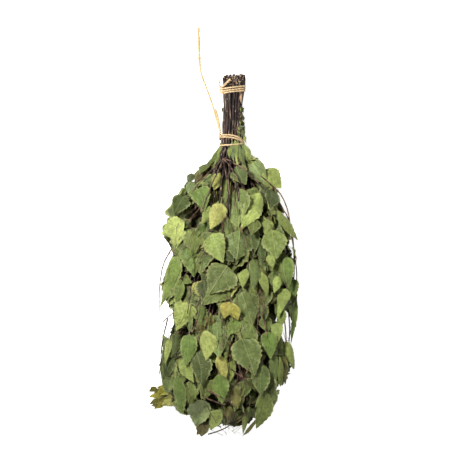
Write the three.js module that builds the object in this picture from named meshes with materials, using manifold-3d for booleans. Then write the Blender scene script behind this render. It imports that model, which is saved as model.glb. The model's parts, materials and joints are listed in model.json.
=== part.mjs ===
// A birch bath whisk, lying on its side: thirty-seven leafy birch twigs, gripped by two twine ties.
//
// Units are millimetres. The whisk lies along Y, with the cut ends of its twigs towards +Y and its
// leaf tips towards -Y. +Z is up, and the whisk rests on the plane Z = 0. "Station" means the distance
// from the cut ends, measured along the whisk towards the leaf tips.
//
// Each twig is one solid, and the leaves that each outer twig carries are one closed solid, a spray,
// which reaches the tips of those leaves. Each tie is one length of twine wound round the twigs.

import * as THREE from "three";
import { mergeVertices } from "three/addons/utils/BufferGeometryUtils.js";
import Module from "manifold-3d";

const wasm = await Module();
wasm.setup();

// ---- Driving dimensions ----

const LENGTH = 584; // cut ends to the furthest leaf tip
const BUTT_Y = 292; // where station 0 lies on Y
const TWIGS_IN_RING = [1, 6, 12, 18]; // the bundle is packed in circles, from its core outwards
const OUTER_RING = TWIGS_IN_RING.length - 1;
const TWIG_SIDES = 6;
const TWIG_STATIONS = [30, 60, 104, 123, 150, 200, 290, 400]; // between a twig's two ends
const CUT_SLANT = 9.5; // the bundle is sawn at a slant: upper twigs start this much later, lower ones earlier
const CUT_SIDES = { left: 2.5, right: 6.5 }; // the twigs at the two sides start this much earlier again
const CUT_UNEVENNESS = 1.2;
const TWINE = 2.6; // diameter of the ties
const TAIL = 2.4; // diameter of the loose ends, which have begun to unravel
const CLEARANCE = 0.3; // between pieces that touch
const SPRAY_HALF_ANGLE = THREE.MathUtils.degToRad(8.2); // neighbours stand 20 degrees apart
const SPRAY_STATIONS = [139, 162, 190, 218, 250, 300, 360, 420, 478, 515, 541]; // between a spray's two ends

// A smooth value that passes through [station, value] pairs.
function profile(pairs) {
  const curve = new THREE.CubicInterpolant(
    pairs.map((pair) => pair[0]),
    pairs.map((pair) => pair[1]),
    1,
  );
  return (station) => curve.evaluate(station)[0];
}

// The middle of the bundle. It leans a little towards -X and rises from the cut ends, which lie on
// the surface, to the thick of the leaves.
const axisX = profile([[0, 17], [60, 16], [104, 15], [160, 12], [250, 9], [350, 8], [450, 4], [584, -2]]);
const axisZ = profile([[0, 20], [26, 21.2], [104, 27], [170, 43], [235, 52], [300, 56], [400, 56], [480, 52], [584, 30]]);

// How far the outermost twigs stand from the axis, sideways and up or down. The twigs are gripped into
// a round handle as far as station 125, and fan out after it.
const fanWidth = profile([
  [0, 16.4], [28, 15.2], [60, 13.4], [104, 14.6], [125, 16.8], [140, 22], [171, 33], [220, 47], [300, 60],
  [380, 66], [440, 66], [490, 56], [560, 28],
]);
const fanHeight = profile([
  [0, 16.4], [28, 15.2], [60, 13.4], [104, 14.6], [125, 16.8], [140, 18.5], [171, 22], [235, 27], [300, 31],
  [400, 31], [480, 25], [560, 8],
]);
const twigRadius = profile([[0, 2.4], [28, 2.2], [60, 2.02], [104, 1.95], [200, 1.7], [350, 1.3], [560, 0.7]]);

// The outline of the leaves: left and right edges, and the height above and below the axis.
const leftEdge = profile([
  [118, -10], [139, -24], [155, -39], [187, -70], [219, -89], [240, -99], [300, -95], [347, -103], [395, -97],
  [459, -103], [485, -102], [515, -96], [541, -76], [555, -60], [584, -38],
]);
const rightEdge = profile([
  [118, 38], [139, 60], [155, 80], [187, 92], [235, 102], [283, 117], [347, 119], [427, 113], [491, 105],
  [523, 86], [555, 64], [584, 24],
]);
const heightAbove = profile([
  [118, 23.5], [139, 27.5], [171, 32.5], [205, 39.5], [240, 48], [300, 58], [400, 61], [480, 54], [540, 38],
  [584, 15],
]);
const heightBelow = profile([
  [118, 23.5], [139, 32], [171, 48], [235, 62], [300, 66], [400, 66], [480, 62], [540, 47], [584, 24],
]);

// How far inside the leaves' outline their twigs run, beyond the twigs' own fan.
const twigMargin = profile([[118, 3.1], [130, 3.9], [160, 5.8], [200, 6.8], [500, 6.8], [584, 6]]);
const THINNEST_SPRAY = 3;

// A repeatable number from 0 to 1 for each seed.
function chance(seed) {
  const scattered = Math.sin(seed * 127.1 + 311.7) * 43758.5453;
  return scattered - Math.floor(scattered);
}

const yOf = (station) => BUTT_Y - station;
const handleRadius = (station) => fanWidth(station) + twigRadius(station);

// ---- Shaping ----

// A closed solid whose cross-sections lie in planes of constant Y. sectionAt(ring) gives each plane's
// station and its corners as [x, z], listed clockwise as seen from +Y towards -Y with +X to the left.
function loft(sides, rings, sectionAt) {
  const geometry = new THREE.CylinderGeometry(1, 1, 1, sides, rings);
  const position = geometry.getAttribute("position");
  const sections = Array.from({ length: rings + 1 }, (_, ring) => sectionAt(ring));
  for (let i = 0; i < position.count; i++) {
    const [x, y, z] = [position.getX(i), position.getY(i), position.getZ(i)];
    const { station, corners } = sections[Math.round((0.5 - y) * rings)];
    const side = Math.round((Math.atan2(x, z) / (2 * Math.PI) + 1) * sides) % sides;
    const atCentre = Math.hypot(x, z) < 0.5;
    const middle = [0, 1].map((k) => corners.reduce((sum, corner) => sum + corner[k], 0) / sides);
    const [newX, newZ] = atCentre ? middle : corners[side];
    position.setXYZ(i, newX, yOf(station), newZ);
  }
  geometry.computeVertexNormals();
  return geometry;
}

// A tube of round section along a path.
function tube(points, diameter, sides, steps) {
  const section = Array.from({ length: sides }, (_, i) => {
    const angle = (2 * Math.PI * i) / sides;
    return new THREE.Vector2(Math.cos(angle), Math.sin(angle)).multiplyScalar(diameter / 2);
  });
  const extrudePath = new THREE.CatmullRomCurve3(points, false, "centripetal");
  return new THREE.ExtrudeGeometry(new THREE.Shape(section), { steps, extrudePath });
}

// A geometry as a manifold-3d solid, and back.
function solidFrom(geometry) {
  const faces = geometry.index ? geometry.toNonIndexed() : geometry;
  const bare = new THREE.BufferGeometry().setAttribute("position", faces.getAttribute("position"));
  const merged = mergeVertices(bare, 1e-3);
  return new wasm.Manifold(
    new wasm.Mesh({
      numProp: 3,
      vertProperties: merged.getAttribute("position").array,
      triVerts: new Uint32Array(merged.index.array),
    }),
  );
}

function geometryFrom(solid) {
  const mesh = solid.getMesh();
  const geometry = new THREE.BufferGeometry();
  geometry.setAttribute("position", new THREE.BufferAttribute(mesh.vertProperties, 3));
  geometry.setIndex(new THREE.BufferAttribute(mesh.triVerts, 1));
  geometry.computeVertexNormals();
  return geometry;
}

// ---- Twigs ----

// Where a twig runs: its ring in the bundle, its angle round the axis, and a seed for its own bends.
function twigPath(ring, angle, seed) {
  const reach = ring / OUTER_RING;
  const phase = 2 * Math.PI * chance(seed + 40);
  return (station) => {
    const loose = THREE.MathUtils.smoothstep(station, 125, 260);
    const sway = 3.5 * loose * Math.sin(station / 38 + phase);
    const lift = 1.2 * loose * Math.cos(station / 31 + phase);
    return [
      axisX(station) + reach * Math.cos(angle) * fanWidth(station) + sway,
      axisZ(station) + reach * Math.sin(angle) * fanHeight(station) + lift,
    ];
  };
}

function twigGeometry(ring, angle, seed) {
  const path = twigPath(ring, angle, seed);
  const reach = ring / OUTER_RING;
  const across = reach * Math.cos(angle);
  const slanted = CUT_SLANT * (1 + reach * Math.sin(angle));
  const sidesEarlier = across > 0 ? across * CUT_SIDES.right : -across * CUT_SIDES.left;
  const start = Math.max(0, slanted - sidesEarlier) + CUT_UNEVENNESS * chance(seed);
  const end = 548 - 62 * reach - 50 * chance(seed + 7);
  const stations = [start, ...TWIG_STATIONS, end];
  const stoutness = 0.86 + 0.14 * chance(seed + 13);
  return loft(TWIG_SIDES, stations.length - 1, (index) => {
    const station = stations[index];
    const [x, z] = path(station);
    const radius = twigRadius(station) * stoutness;
    const corners = Array.from({ length: TWIG_SIDES }, (_, side) => {
      const turn = (2 * Math.PI * side) / TWIG_SIDES;
      return [x + radius * Math.sin(turn), z + radius * Math.cos(turn)];
    });
    return { station, corners };
  });
}

// ---- Leaf sprays ----

// A point of the leaves' outline at an angle round the axis. Leaves press flat where they lie on the
// surface, at Z = 0.
function outerEdge(station, angle) {
  const [right, above] = [Math.cos(angle), Math.sin(angle)];
  const width = right > 0 ? rightEdge(station) - axisX(station) : axisX(station) - leftEdge(station);
  const height = above > 0 ? heightAbove(station) : heightBelow(station);
  return [axisX(station) + right * width, Math.max(axisZ(station) + above * height, 0)];
}

// The same on the inside of the leaves, clear of the twigs.
function innerEdge(station, angle) {
  const [right, above] = [Math.cos(angle), Math.sin(angle)];
  const [outerX, outerZ] = outerEdge(station, angle);
  const acrossRoom = Math.abs(outerX - axisX(station)) - THINNEST_SPRAY * Math.abs(right);
  const upRoom = Math.abs(outerZ - axisZ(station)) - THINNEST_SPRAY * Math.abs(above);
  const across = Math.min(Math.abs(right) * (fanWidth(station) + twigMargin(station)), acrossRoom);
  const up = Math.min(Math.abs(above) * (fanHeight(station) + twigMargin(station)), upRoom);
  return [axisX(station) + Math.sign(right) * across, axisZ(station) + Math.sign(above) * up];
}

// One leaf stands out from the left side, near the tips.
const STRAY_LEAF = { spray: 9, station: 515, reach: 24 };

// The leaves of one outer twig. They narrow at both ends.
function sprayGeometry(index, angle) {
  const seed = 500 + index;
  const first = 118 + 8 * chance(seed);
  const last = LENGTH - 22 * Math.abs(Math.cos(angle)) - 12 * chance(seed + 3);
  const stations = [first, ...SPRAY_STATIONS, last];
  return loft(5, stations.length - 1, (ring) => {
    const station = stations[ring];
    const isEnd = ring === 0 || ring === stations.length - 1;
    const halfAngle = SPRAY_HALF_ANGLE * (isEnd ? 0.8 : 1);
    const [low, high] = [angle - halfAngle, angle + halfAngle];
    const isStray = index === STRAY_LEAF.spray && station === STRAY_LEAF.station;
    const outer = [high, angle, low].map((edge) => {
      const [x, z] = outerEdge(station, edge);
      return [isStray ? x - STRAY_LEAF.reach : x, z];
    });
    return { station, corners: [...outer, innerEdge(station, low), innerEdge(station, high)] };
  });
}

// ---- Ties ----

// A point beside the bundle at a station and an angle round its axis, with the twine's middle
// standing off the bark by half its thickness.
function besideBundle(station, angle, standOff = 0) {
  const radius = handleRadius(station) + TWINE / 2 + 2 * CLEARANCE + standOff;
  return new THREE.Vector3(
    axisX(station) + radius * Math.cos(angle),
    yOf(station),
    axisZ(station) + radius * Math.sin(angle),
  );
}

// Twine wound clockwise from the left side, over the top. stationAt(turns) and standOffAt(turns) say
// where along the bundle it lies after that many turns, and how far out from the bark.
function winding(turns, stationAt, standOffAt = () => 0) {
  const perTurn = 12;
  return Array.from({ length: Math.round(turns * perTurn) + 1 }, (_, i) => {
    const angle = Math.PI - (2 * Math.PI * i) / perTurn;
    return besideBundle(stationAt(i / perTurn), angle, standOffAt(i / perTurn));
  });
}

// Three turns near the cut ends. They slope, with the right side nearer the cut. The twine starts
// with a loose end that lies along the left side, and its other end lies over the cut ends.
function upperTieGeometry() {
  const stationAt = profile([[0, 31.2], [0.5, 26.4], [1, 28.2], [1.5, 23.4], [2, 25.2], [2.5, 20.4], [3, 21.6]]);
  const besideLeft = [[-9, 9, 3], [-7.8, 15.5, 2.4], [-6.9, 21.5, 1.6], [-6.4, 26.5, 0.8], [-5.4, 30.6, 1.2]];
  const overTheCut = [[1, 19.8, 11.4], [5.6, 15.4, 15.4], [12, 9.5, 15.8]];
  const besideTwigs = ([x, station, height]) => new THREE.Vector3(x, yOf(station), axisZ(station) + height);
  const wraps = winding(3, stationAt).slice(1);
  return tube([...besideLeft.map(besideTwigs), ...wraps, ...overTheCut.map(besideTwigs)], TWINE, 6, 72);
}

// Three turns where the leaves begin: two side by side that slope down to the right, and one
// that stands apart from them on the left. The last crosses over the others, underneath, to a
// knot on the left side.
function lowerTieGeometry() {
  const stationAt = profile([[0, 99.2], [0.5, 108.6], [1, 102.2], [1.5, 111.6], [2, 116.6], [2.5, 114.9], [3, 104.6]]);
  const standOffAt = (turns) => 3.1 * THREE.MathUtils.smoothstep(turns, 2.46, 2.6);
  const wraps = tube(winding(3, stationAt, standOffAt), TWINE, 6, 66);
  const knot = new THREE.TorusKnotGeometry(2.3, 1.05, 32, 5, 2, 3);
  knot.rotateY(Math.PI / 2);
  knot.translate(...besideBundle(101, Math.PI * 1.08, 1.6).toArray());
  return geometryFrom(solidFrom(wraps).add(solidFrom(knot)));
}

// ---- Loose ends of the lower tie ----

// They leave the knot towards the cut ends, sink to the surface and lie on it.
const longTailRoute = [
  [-5.4, 196.2, 20.6], [-5.7, 199.5, 20.4], [-6.6, 204.5, 19.0], [-8.2, 210.5, 15.9], [-10.0, 217, 11.6],
  [-11.8, 223, 7.4], [-13.6, 229.5, 4.0], [-15.6, 237, 1.9], [-17.8, 244.5, 1.3], [-20.3, 252, 1.25],
  [-23.4, 261, 1.25], [-27.2, 271, 1.25], [-31.0, 281, 1.25], [-34.2, 290, 1.25], [-36.6, 299, 1.25],
  [-38.0, 310, 1.25], [-38.6, 322, 1.25], [-39.0, 335, 1.25], [-39.4, 348, 1.25], [-39.8, 359, 1.25],
  [-40.2, 369, 1.25],
];
const shortTailRoute = [
  [-4.4, 196.2, 25.8], [-4.6, 199.5, 25.5], [-5.2, 204.5, 23.8], [-6.2, 210, 20.4], [-7.4, 216, 15.8],
  [-8.7, 221.5, 11.2], [-10.0, 227, 6.8], [-11.3, 232, 3.4], [-12.3, 236.8, 1.3],
];

const routePoints = (route) => route.map((point) => new THREE.Vector3(...point));

// ---- Assembly ----

const bark = { color: 0x4e3d35, roughness: 0.85, metalness: 0 };
const leaf = { color: 0x727c46, roughness: 0.8, metalness: 0 };
const twine = { color: 0xc5a87f, roughness: 0.9, metalness: 0 };

function named(name, geometry, look) {
  const mesh = new THREE.Mesh(geometry, new THREE.MeshStandardMaterial(look));
  mesh.name = name;
  return mesh;
}

const twoDigits = (number) => String(number).padStart(2, "0");
const whisk = new THREE.Group();

TWIGS_IN_RING.forEach((count, ring) => {
  const layer = ["core", "inner", "middle", "outer"][ring];
  for (let i = 0; i < count; i++) {
    const angle = (2 * Math.PI * (i + [0, 0.35, 0.2, 0.5][ring])) / count;
    const name = count > 1 ? `twig_${layer}_${twoDigits(i + 1)}` : `twig_${layer}`;
    whisk.add(named(name, twigGeometry(ring, angle, 100 * ring + i), bark));
  }
});

for (let i = 0; i < TWIGS_IN_RING[OUTER_RING]; i++) {
  const angle = (2 * Math.PI * (i + 0.5)) / TWIGS_IN_RING[OUTER_RING];
  whisk.add(named(`leaf_spray_${twoDigits(i + 1)}`, sprayGeometry(i, angle), leaf));
}

whisk.add(named("upper_tie", upperTieGeometry(), twine));
whisk.add(named("lower_tie", lowerTieGeometry(), twine));
whisk.add(named("tie_tail_long", tube(routePoints(longTailRoute), TAIL, 8, 32), twine));
whisk.add(named("tie_tail_short", tube(routePoints(shortTailRoute), TAIL, 8, 8), twine));

export default whisk;
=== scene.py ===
# %% [markdown]
# # A birch bath whisk
# A whisk is a bundle of leafy birch twigs, dried and tied with twine so that their bare ends make a
# handle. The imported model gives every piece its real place: the twigs, one solid for the leaves of
# each outer twig, two ties and two loose ends of twine. This notebook gives each one its real look.
# All lengths are in metres. The whisk lies along Y, cut ends towards +Y, and Z is up.

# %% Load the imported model
import json
import math

import bpy
import numpy as np
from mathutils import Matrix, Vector
from mathutils.bvhtree import BVHTree

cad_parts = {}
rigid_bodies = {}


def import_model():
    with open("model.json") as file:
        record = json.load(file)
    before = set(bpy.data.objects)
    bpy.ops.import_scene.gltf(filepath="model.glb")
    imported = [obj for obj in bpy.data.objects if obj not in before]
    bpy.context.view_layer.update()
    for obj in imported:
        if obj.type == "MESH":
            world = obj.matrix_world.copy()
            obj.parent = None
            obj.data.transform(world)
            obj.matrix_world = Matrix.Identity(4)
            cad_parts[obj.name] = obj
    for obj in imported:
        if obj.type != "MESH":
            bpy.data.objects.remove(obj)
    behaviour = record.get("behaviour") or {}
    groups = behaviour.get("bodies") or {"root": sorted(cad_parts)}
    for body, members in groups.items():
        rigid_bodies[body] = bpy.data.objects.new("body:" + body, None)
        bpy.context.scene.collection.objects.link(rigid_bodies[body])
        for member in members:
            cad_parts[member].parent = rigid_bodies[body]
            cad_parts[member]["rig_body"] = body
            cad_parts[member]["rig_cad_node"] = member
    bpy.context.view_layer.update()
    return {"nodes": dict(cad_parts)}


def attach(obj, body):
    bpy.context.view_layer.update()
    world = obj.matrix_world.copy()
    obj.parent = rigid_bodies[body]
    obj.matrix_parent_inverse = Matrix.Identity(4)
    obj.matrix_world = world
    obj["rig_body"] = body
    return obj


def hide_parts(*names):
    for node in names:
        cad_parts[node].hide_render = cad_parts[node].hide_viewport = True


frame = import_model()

MM = 0.001
BUTT_Y = 0.292  # the cut ends; a "station" is a distance from here towards the leaf tips

# %% [markdown]
# ## Camera, light and floor
# The whisk is seen from straight above, from far enough that its sides look parallel. Three lamps
# and a white floor give the bright, even look of a studio table.

# %% Camera
MIDDLE = Vector((0.0152, 0.0368, 0.0))  # the middle of the view, on the floor
VIEW_HEIGHT = 4.4
VIEW_WIDTH = 0.744  # how much of the table the camera takes in, at half the whisk's height
HALF_THICKNESS = 0.05
SENSOR_WIDTH = 36


def deselect():
    """Leaves edit mode and selects nothing."""
    if bpy.context.mode != "OBJECT":
        bpy.ops.object.mode_set(mode="OBJECT")
    bpy.ops.object.select_all(action="DESELECT")


deselect()
bpy.ops.object.camera_add(location=(MIDDLE.x, MIDDLE.y, VIEW_HEIGHT), rotation=(0, 0, 0))
camera = bpy.context.object
camera.data.sensor_width = SENSOR_WIDTH
camera.data.lens = SENSOR_WIDTH * (VIEW_HEIGHT - HALF_THICKNESS) / VIEW_WIDTH
bpy.context.scene.camera = camera
bpy.context.scene.view_settings.view_transform = "Standard"
print("camera", VIEW_HEIGHT, "m above the table, with a lens of", round(camera.data.lens), "mm")

# %% [markdown]
# A studio lamp is a square sheet of light. The larger it is, the softer the edge of its shadow. The
# key lamp stands at the upper left and is small, so its shadows bring out the leaves' relief. Two
# larger, weak ones open the dark sides.

# %% Lamps and air
AIR_LIGHT = 0.13
WHITE = (1, 1, 1, 1)


def soft_lamp(name, place, size, power):
    """A square lamp that faces the middle of the whisk."""
    bpy.ops.object.light_add(type="AREA", location=place)
    lamp = bpy.context.object
    lamp.name = name
    lamp.data.size = size
    lamp.data.energy = power
    lamp.rotation_mode = "QUATERNION"
    lamp.rotation_quaternion = (Vector((0, 0, 0)) - Vector(place)).to_track_quat("-Z", "Y")


soft_lamp("key_lamp", place=(-0.75, 0.75, 1.6), size=0.3, power=56)
soft_lamp("fill_lamp", place=(1.2, 0.3, 1.5), size=1.0, power=4)
soft_lamp("front_lamp", place=(0.0, -1.4, 1.2), size=1.0, power=3)

world = bpy.data.worlds.new("studio_air")
world.use_nodes = True
world.node_tree.nodes["Background"].inputs["Color"].default_value = WHITE
world.node_tree.nodes["Background"].inputs["Strength"].default_value = AIR_LIGHT
bpy.context.scene.world = world

# %% [markdown]
# The floor is only a stage for the whisk. It lies a hair below the leaves, so that none of them
# shares its plane, and reaches past the edge of the view on all sides.

# %% Floor
FLOOR_SIZE = 14
FLOOR_Z = -0.0004

bpy.ops.mesh.primitive_plane_add(size=FLOOR_SIZE, location=(0, 0, FLOOR_Z))
floor = bpy.context.object
floor.name = "floor"
print("floor", floor.dimensions.x, "m wide")

# %% [markdown]
# ## Small tools for materials
# A material is a graph of nodes. These helpers add one node at a time and wire it up.

# %% Helpers for single nodes
def wire(tree, kind, inputs=(), **settings):
    """Adds a node, applies its settings, then sets or links its inputs."""
    node = tree.nodes.new(kind)
    for name, value in settings.items():
        setattr(node, name, value)
    for name, value in dict(inputs).items():
        if isinstance(value, bpy.types.NodeSocket):
            tree.links.new(value, node.inputs[name])
        else:
            node.inputs[name].default_value = value
    return node


def calc(tree, operation, a, b=0.0, c=0.0, clamp=False):
    """One step of arithmetic."""
    inputs = {0: a, 1: b, 2: c}
    return wire(tree, "ShaderNodeMath", inputs, operation=operation, use_clamp=clamp).outputs[0]


def ramp(tree, value, low, high, out_low=0.0, out_high=1.0):
    """Maps low..high smoothly to out_low..out_high, and no further."""
    inputs = {"Value": value, "From Min": low, "From Max": high, "To Min": out_low, "To Max": out_high}
    return wire(tree, "ShaderNodeMapRange", inputs, interpolation_type="SMOOTHSTEP").outputs["Result"]


def mix(tree, factor, low, high):
    """Blends two colours."""
    inputs = {0: factor, 6: low, 7: high}
    return wire(tree, "ShaderNodeMix", inputs, data_type="RGBA").outputs[2]


def noise_at(tree, place, scale, detail=3.0):
    """A cloudy value near 0.5."""
    inputs = {"Vector": place, "Scale": scale, "Detail": detail, "Roughness": 0.55}
    return wire(tree, "ShaderNodeTexNoise", inputs).outputs["Fac"]


def stretched(tree, place, scale):
    """The same place, scaled by a different amount on each axis."""
    return wire(tree, "ShaderNodeMapping", {"Vector": place, "Scale": scale}).outputs["Vector"]


def rgb(red, green, blue):
    """A colour from the 0 to 255 numbers of a colour picker, as light, which shaders work in."""
    value = np.array([red, green, blue]) / 255
    light = np.where(value <= 0.04045, value / 12.92, ((value + 0.055) / 1.055) ** 2.4)
    return (*light.tolist(), 1.0)


print("a middle grey is", round(rgb(128, 128, 128)[0], 3), "as light")

# %% [markdown]
# ## Groups and materials
# An effect that several materials share is a node group with named inputs and outputs. Each material
# starts with one shader, and gets its colour and its relief from nodes.

# %% Helpers for groups and materials
def new_group(name, inputs, outputs):
    """An empty node group, with the sockets that its inside reads and writes."""
    group = bpy.data.node_groups.new(name, "ShaderNodeTree")
    for label, kind, value in inputs:
        socket = group.interface.new_socket(label, in_out="INPUT", socket_type="NodeSocket" + kind)
        if value is not None:
            socket.default_value = value
    for label, kind in outputs:
        group.interface.new_socket(label, in_out="OUTPUT", socket_type="NodeSocket" + kind)
    return group, group.nodes.new("NodeGroupInput").outputs, group.nodes.new("NodeGroupOutput").inputs


def use_group(tree, group, inputs):
    """Places a node group in a material."""
    node = tree.nodes.new("ShaderNodeGroup")
    node.node_tree = group
    for name, value in inputs.items():
        if isinstance(value, bpy.types.NodeSocket):
            tree.links.new(value, node.inputs[name])
        else:
            node.inputs[name].default_value = value
    return node.outputs


def paint(tree, shader, colour, relief, strength, depth):
    """Links a colour to the shader, and turns a relief into bumps of a depth in metres."""
    tree.links.new(colour, shader["Base Color"])
    bump = wire(tree, "ShaderNodeBump", {"Height": relief, "Strength": strength, "Distance": depth})
    tree.links.new(bump.outputs["Normal"], shader["Normal"])


def new_material(name):
    """A material with only a Principled shader, and that shader's inputs."""
    material = bpy.data.materials.new(name)
    material.use_nodes = True
    return material, material.node_tree, material.node_tree.nodes["Principled BSDF"].inputs


# %% [markdown]
# ## Cloudy colour
# Nothing that grew or was spun is one even colour. A picture could carry such clouds, but a noise
# works at any size, so one node group turns an even colour into a cloudy one for every material.

# %% Shared effect: cloudy brightness
CLOUDY_INPUTS = [
    ("Colour", "Color", WHITE),
    ("Place", "Vector", None),
    ("Scale", "Float", 100.0),
    ("Strength", "Float", 0.3),
]
CLOUDY_OUTPUTS = [("Colour", "Color"), ("Cloud", "Float")]
cloudy, given, out = new_group("cloudy_colour", CLOUDY_INPUTS, CLOUDY_OUTPUTS)
cloud = noise_at(cloudy, given["Place"], given["Scale"], detail=4.0)
swing = calc(cloudy, "MULTIPLY", calc(cloudy, "SUBTRACT", cloud, 0.5), given["Strength"])
gain = calc(cloudy, "MULTIPLY_ADD", swing, 2.0, 1.0)
scaled = wire(cloudy, "ShaderNodeVectorMath", {0: given["Colour"], "Scale": gain}, operation="SCALE")
cloudy.links.new(scaled.outputs[0], out["Colour"])
cloudy.links.new(cloud, out["Cloud"])
print("cloudy colour group:", len(cloudy.nodes), "nodes")

# %% [markdown]
# ## Floor finish
# A studio table is lit until it shows white. Here the floor gives off a little light of its own, so
# that it stays white without lamps that would bleach the leaves.

# %% Floor finish
floor_paint, tree, shader = new_material("floor_paint")
at = tree.nodes.new("ShaderNodeTexCoord").outputs["Object"]
clouds = {"Colour": (0.9, 0.9, 0.9, 1), "Place": at, "Scale": 1.5, "Strength": 0.02}
tint = use_group(tree, cloudy, clouds)
tree.links.new(tint["Colour"], shader["Base Color"])
shader["Roughness"].default_value = 0.9
shader["Emission Color"].default_value = WHITE
shader["Emission Strength"].default_value = 0.84
floor.data.materials.append(floor_paint)
print("floor finish:", floor_paint.name)

# %% [markdown]
# ## Twine
# The ties are soft bast twine of two twisted strands, pale and matt, with darker lines where fibres
# lie apart. The lines are a noise that is stretched along the twine's own map, so that they follow it
# round the handle. Where it lay in the sun, as the loose ends did, it is bleached.

# %% Twine finish
twine_finish, tree, shader = new_material("bast_twine")
run = wire(tree, "ShaderNodeUVMap", uv_map="twine_run").outputs["UV"]
at = tree.nodes.new("ShaderNodeTexCoord").outputs["Object"]
fibres = noise_at(tree, stretched(tree, run, (14.0, 0.55, 1.0)), 1.0, detail=4.0)
spun = mix(tree, ramp(tree, fibres, 0.34, 0.62), rgb(118, 86, 50), rgb(244, 214, 166))
bleached = wire(tree, "ShaderNodeAttribute", attribute_name="bleached").outputs["Fac"]
base = mix(tree, calc(tree, "MULTIPLY", bleached, 0.6), spun, rgb(196, 174, 120))
tint = use_group(tree, cloudy, {"Colour": base, "Place": at, "Scale": 90.0, "Strength": 0.35})
paint(tree, shader, tint["Colour"], fibres, 0.7, 0.0004)
shader["Roughness"].default_value = 0.85
shader["Specular IOR Level"].default_value = 0.25
print("twine finish:", len(tree.nodes), "nodes")

# %% [markdown]
# ## Paths
# Twine and side twigs are given as a few points each. A smooth curve runs through the points and is
# cut into even steps. Each step has two sideways directions that turn as little as they can, so that
# a tube along it isn't wrung.

# %% Smooth paths
CURVE_STEPS = 12  # between two given points


def smooth_path(points, step):
    """Evenly spaced points on a smooth curve through the given ones."""
    points = np.array(points, float)
    ends = np.array([2 * points[0] - points[1], 2 * points[-1] - points[-2]])
    padded = np.vstack([ends[:1], points, ends[1:]])
    fine = []
    for before, start, end, after in zip(padded, padded[1:], padded[2:], padded[3:]):
        bend = 2 * before - 5 * start + 4 * end - after
        sway = 3 * start - before - 3 * end + after
        for t in np.linspace(0, 1, CURVE_STEPS, endpoint=False):
            fine.append(0.5 * (2 * start + (end - before) * t + bend * t**2 + sway * t**3))
    fine = np.array(fine + [points[-1]])
    run = np.concatenate([[0], np.cumsum(np.linalg.norm(np.diff(fine, axis=0), axis=1))])
    count = max(2, round(run[-1] / step))
    even = np.linspace(0, run[-1], count + 1)
    return np.column_stack([np.interp(even, run, fine[:, k]) for k in range(3)]), even


def path_frames(points):
    """A direction and two sideways directions for each point, without sudden turns."""
    ahead = np.gradient(points, axis=0)
    ahead /= np.linalg.norm(ahead, axis=1, keepdims=True)
    side = np.cross(ahead[0], (0, 0, 1) if abs(ahead[0][2]) < 0.9 else (1, 0, 0))
    sides = []
    for direction in ahead:
        side = side - direction * side.dot(direction)
        side /= np.linalg.norm(side)
        sides.append(side)
    sides = np.array(sides)
    return ahead, sides, np.cross(ahead, sides)


# %% [markdown]
# ## Spinning the twine
# A round tube would look like wire. So the section of the twine is two lobes that turn as it runs,
# and its thickness wavers. A worn end swells and frays.

# %% The twine's body
TWINE_SIDES = 10
LOBES = 0.34  # how deep the groove between the two strands is, as a share of the radius
TWIST = 0.011  # the length of one full turn of the strands
WORN_RUN = 0.02  # a fraying end gets from its usual thickness to its full one over this run
CUT_SHARE = 0.72  # how much of the thickness is left where the twine was cut


def thickness_share(run, frays_from):
    """How thick the twine is at a run along it, as a share of its usual thickness."""
    share = 1 + 0.07 * math.sin(run / 0.0047) + 0.05 * math.sin(run / 0.0019 + 1)
    if frays_from is not None:
        worn = min(max((run - frays_from) / WORN_RUN, 0), 1)
        share *= 1 + worn * (0.45 + 0.35 * math.sin(run / 0.0031) * math.sin(run / 0.0083))
    return share


def twisted_tube(points, run, across, up, radius, frays_from):
    """The two-lobed body of the twine: corners, faces, and each face corner's place on its map."""
    turn = np.linspace(0, 2 * np.pi, TWINE_SIDES, endpoint=False)
    corners, faces, run_uv = [], [], []
    for i, (point, side, rise) in enumerate(zip(points, across, up)):
        twist = 2 * np.pi * run[i] / TWIST
        lobe = 1 - LOBES * (1 - np.abs(np.cos(turn - twist))) ** 1.5
        spread = radius * thickness_share(run[i], frays_from) * lobe
        if i in (0, len(points) - 1):
            spread = spread * CUT_SHARE
        ring = np.cos(turn)[:, None] * side + np.sin(turn)[:, None] * rise
        corners.append(point + spread[:, None] * ring)
    rings = len(points)
    for i in range(rings - 1):
        for k in range(TWINE_SIDES):
            a, b = i * TWINE_SIDES + k, i * TWINE_SIDES + (k + 1) % TWINE_SIDES
            faces.append((a, b, b + TWINE_SIDES, a + TWINE_SIDES))
            low, high = run[i] / MM, run[i + 1] / MM
            run_uv += [(k / TWINE_SIDES, low), ((k + 1) / TWINE_SIDES, low)]
            run_uv += [((k + 1) / TWINE_SIDES, high), (k / TWINE_SIDES, high)]
    faces.append(tuple(range(TWINE_SIDES))[::-1])
    faces.append(tuple(range((rings - 1) * TWINE_SIDES, rings * TWINE_SIDES)))
    run_uv += [(k / TWINE_SIDES, 0) for k in range(TWINE_SIDES)] * 2
    return np.vstack(corners).tolist(), faces, run_uv


print("the twine turns once in", round(TWIST / MM), "mm")

# %% [markdown]
# ## Finishing a piece
# Every mesh ends the same way. Its faces are turned outwards and shaded smooth, except over sharp
# edges. Then it is told which body it moves with, and the CAD nodes that it stands for are hidden.

# %% Finishing a piece
def face_outwards(piece, sharp_angle):
    """Turns every face outwards and smooths the shading, except over edges sharper than an angle."""
    deselect()
    piece.select_set(True)
    bpy.context.view_layer.objects.active = piece
    bpy.ops.object.mode_set(mode="EDIT")
    bpy.ops.mesh.select_all(action="SELECT")
    bpy.ops.mesh.normals_make_consistent(inside=False)
    bpy.ops.object.mode_set(mode="OBJECT")
    bpy.ops.object.shade_smooth_by_angle(angle=math.radians(sharp_angle))


def finish_piece(piece, slot, *nodes):
    """The piece moves with the whisk and stands for its CAD nodes, which are hidden. The slot is not used."""
    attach(piece, "root")
    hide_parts(*nodes)


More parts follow.
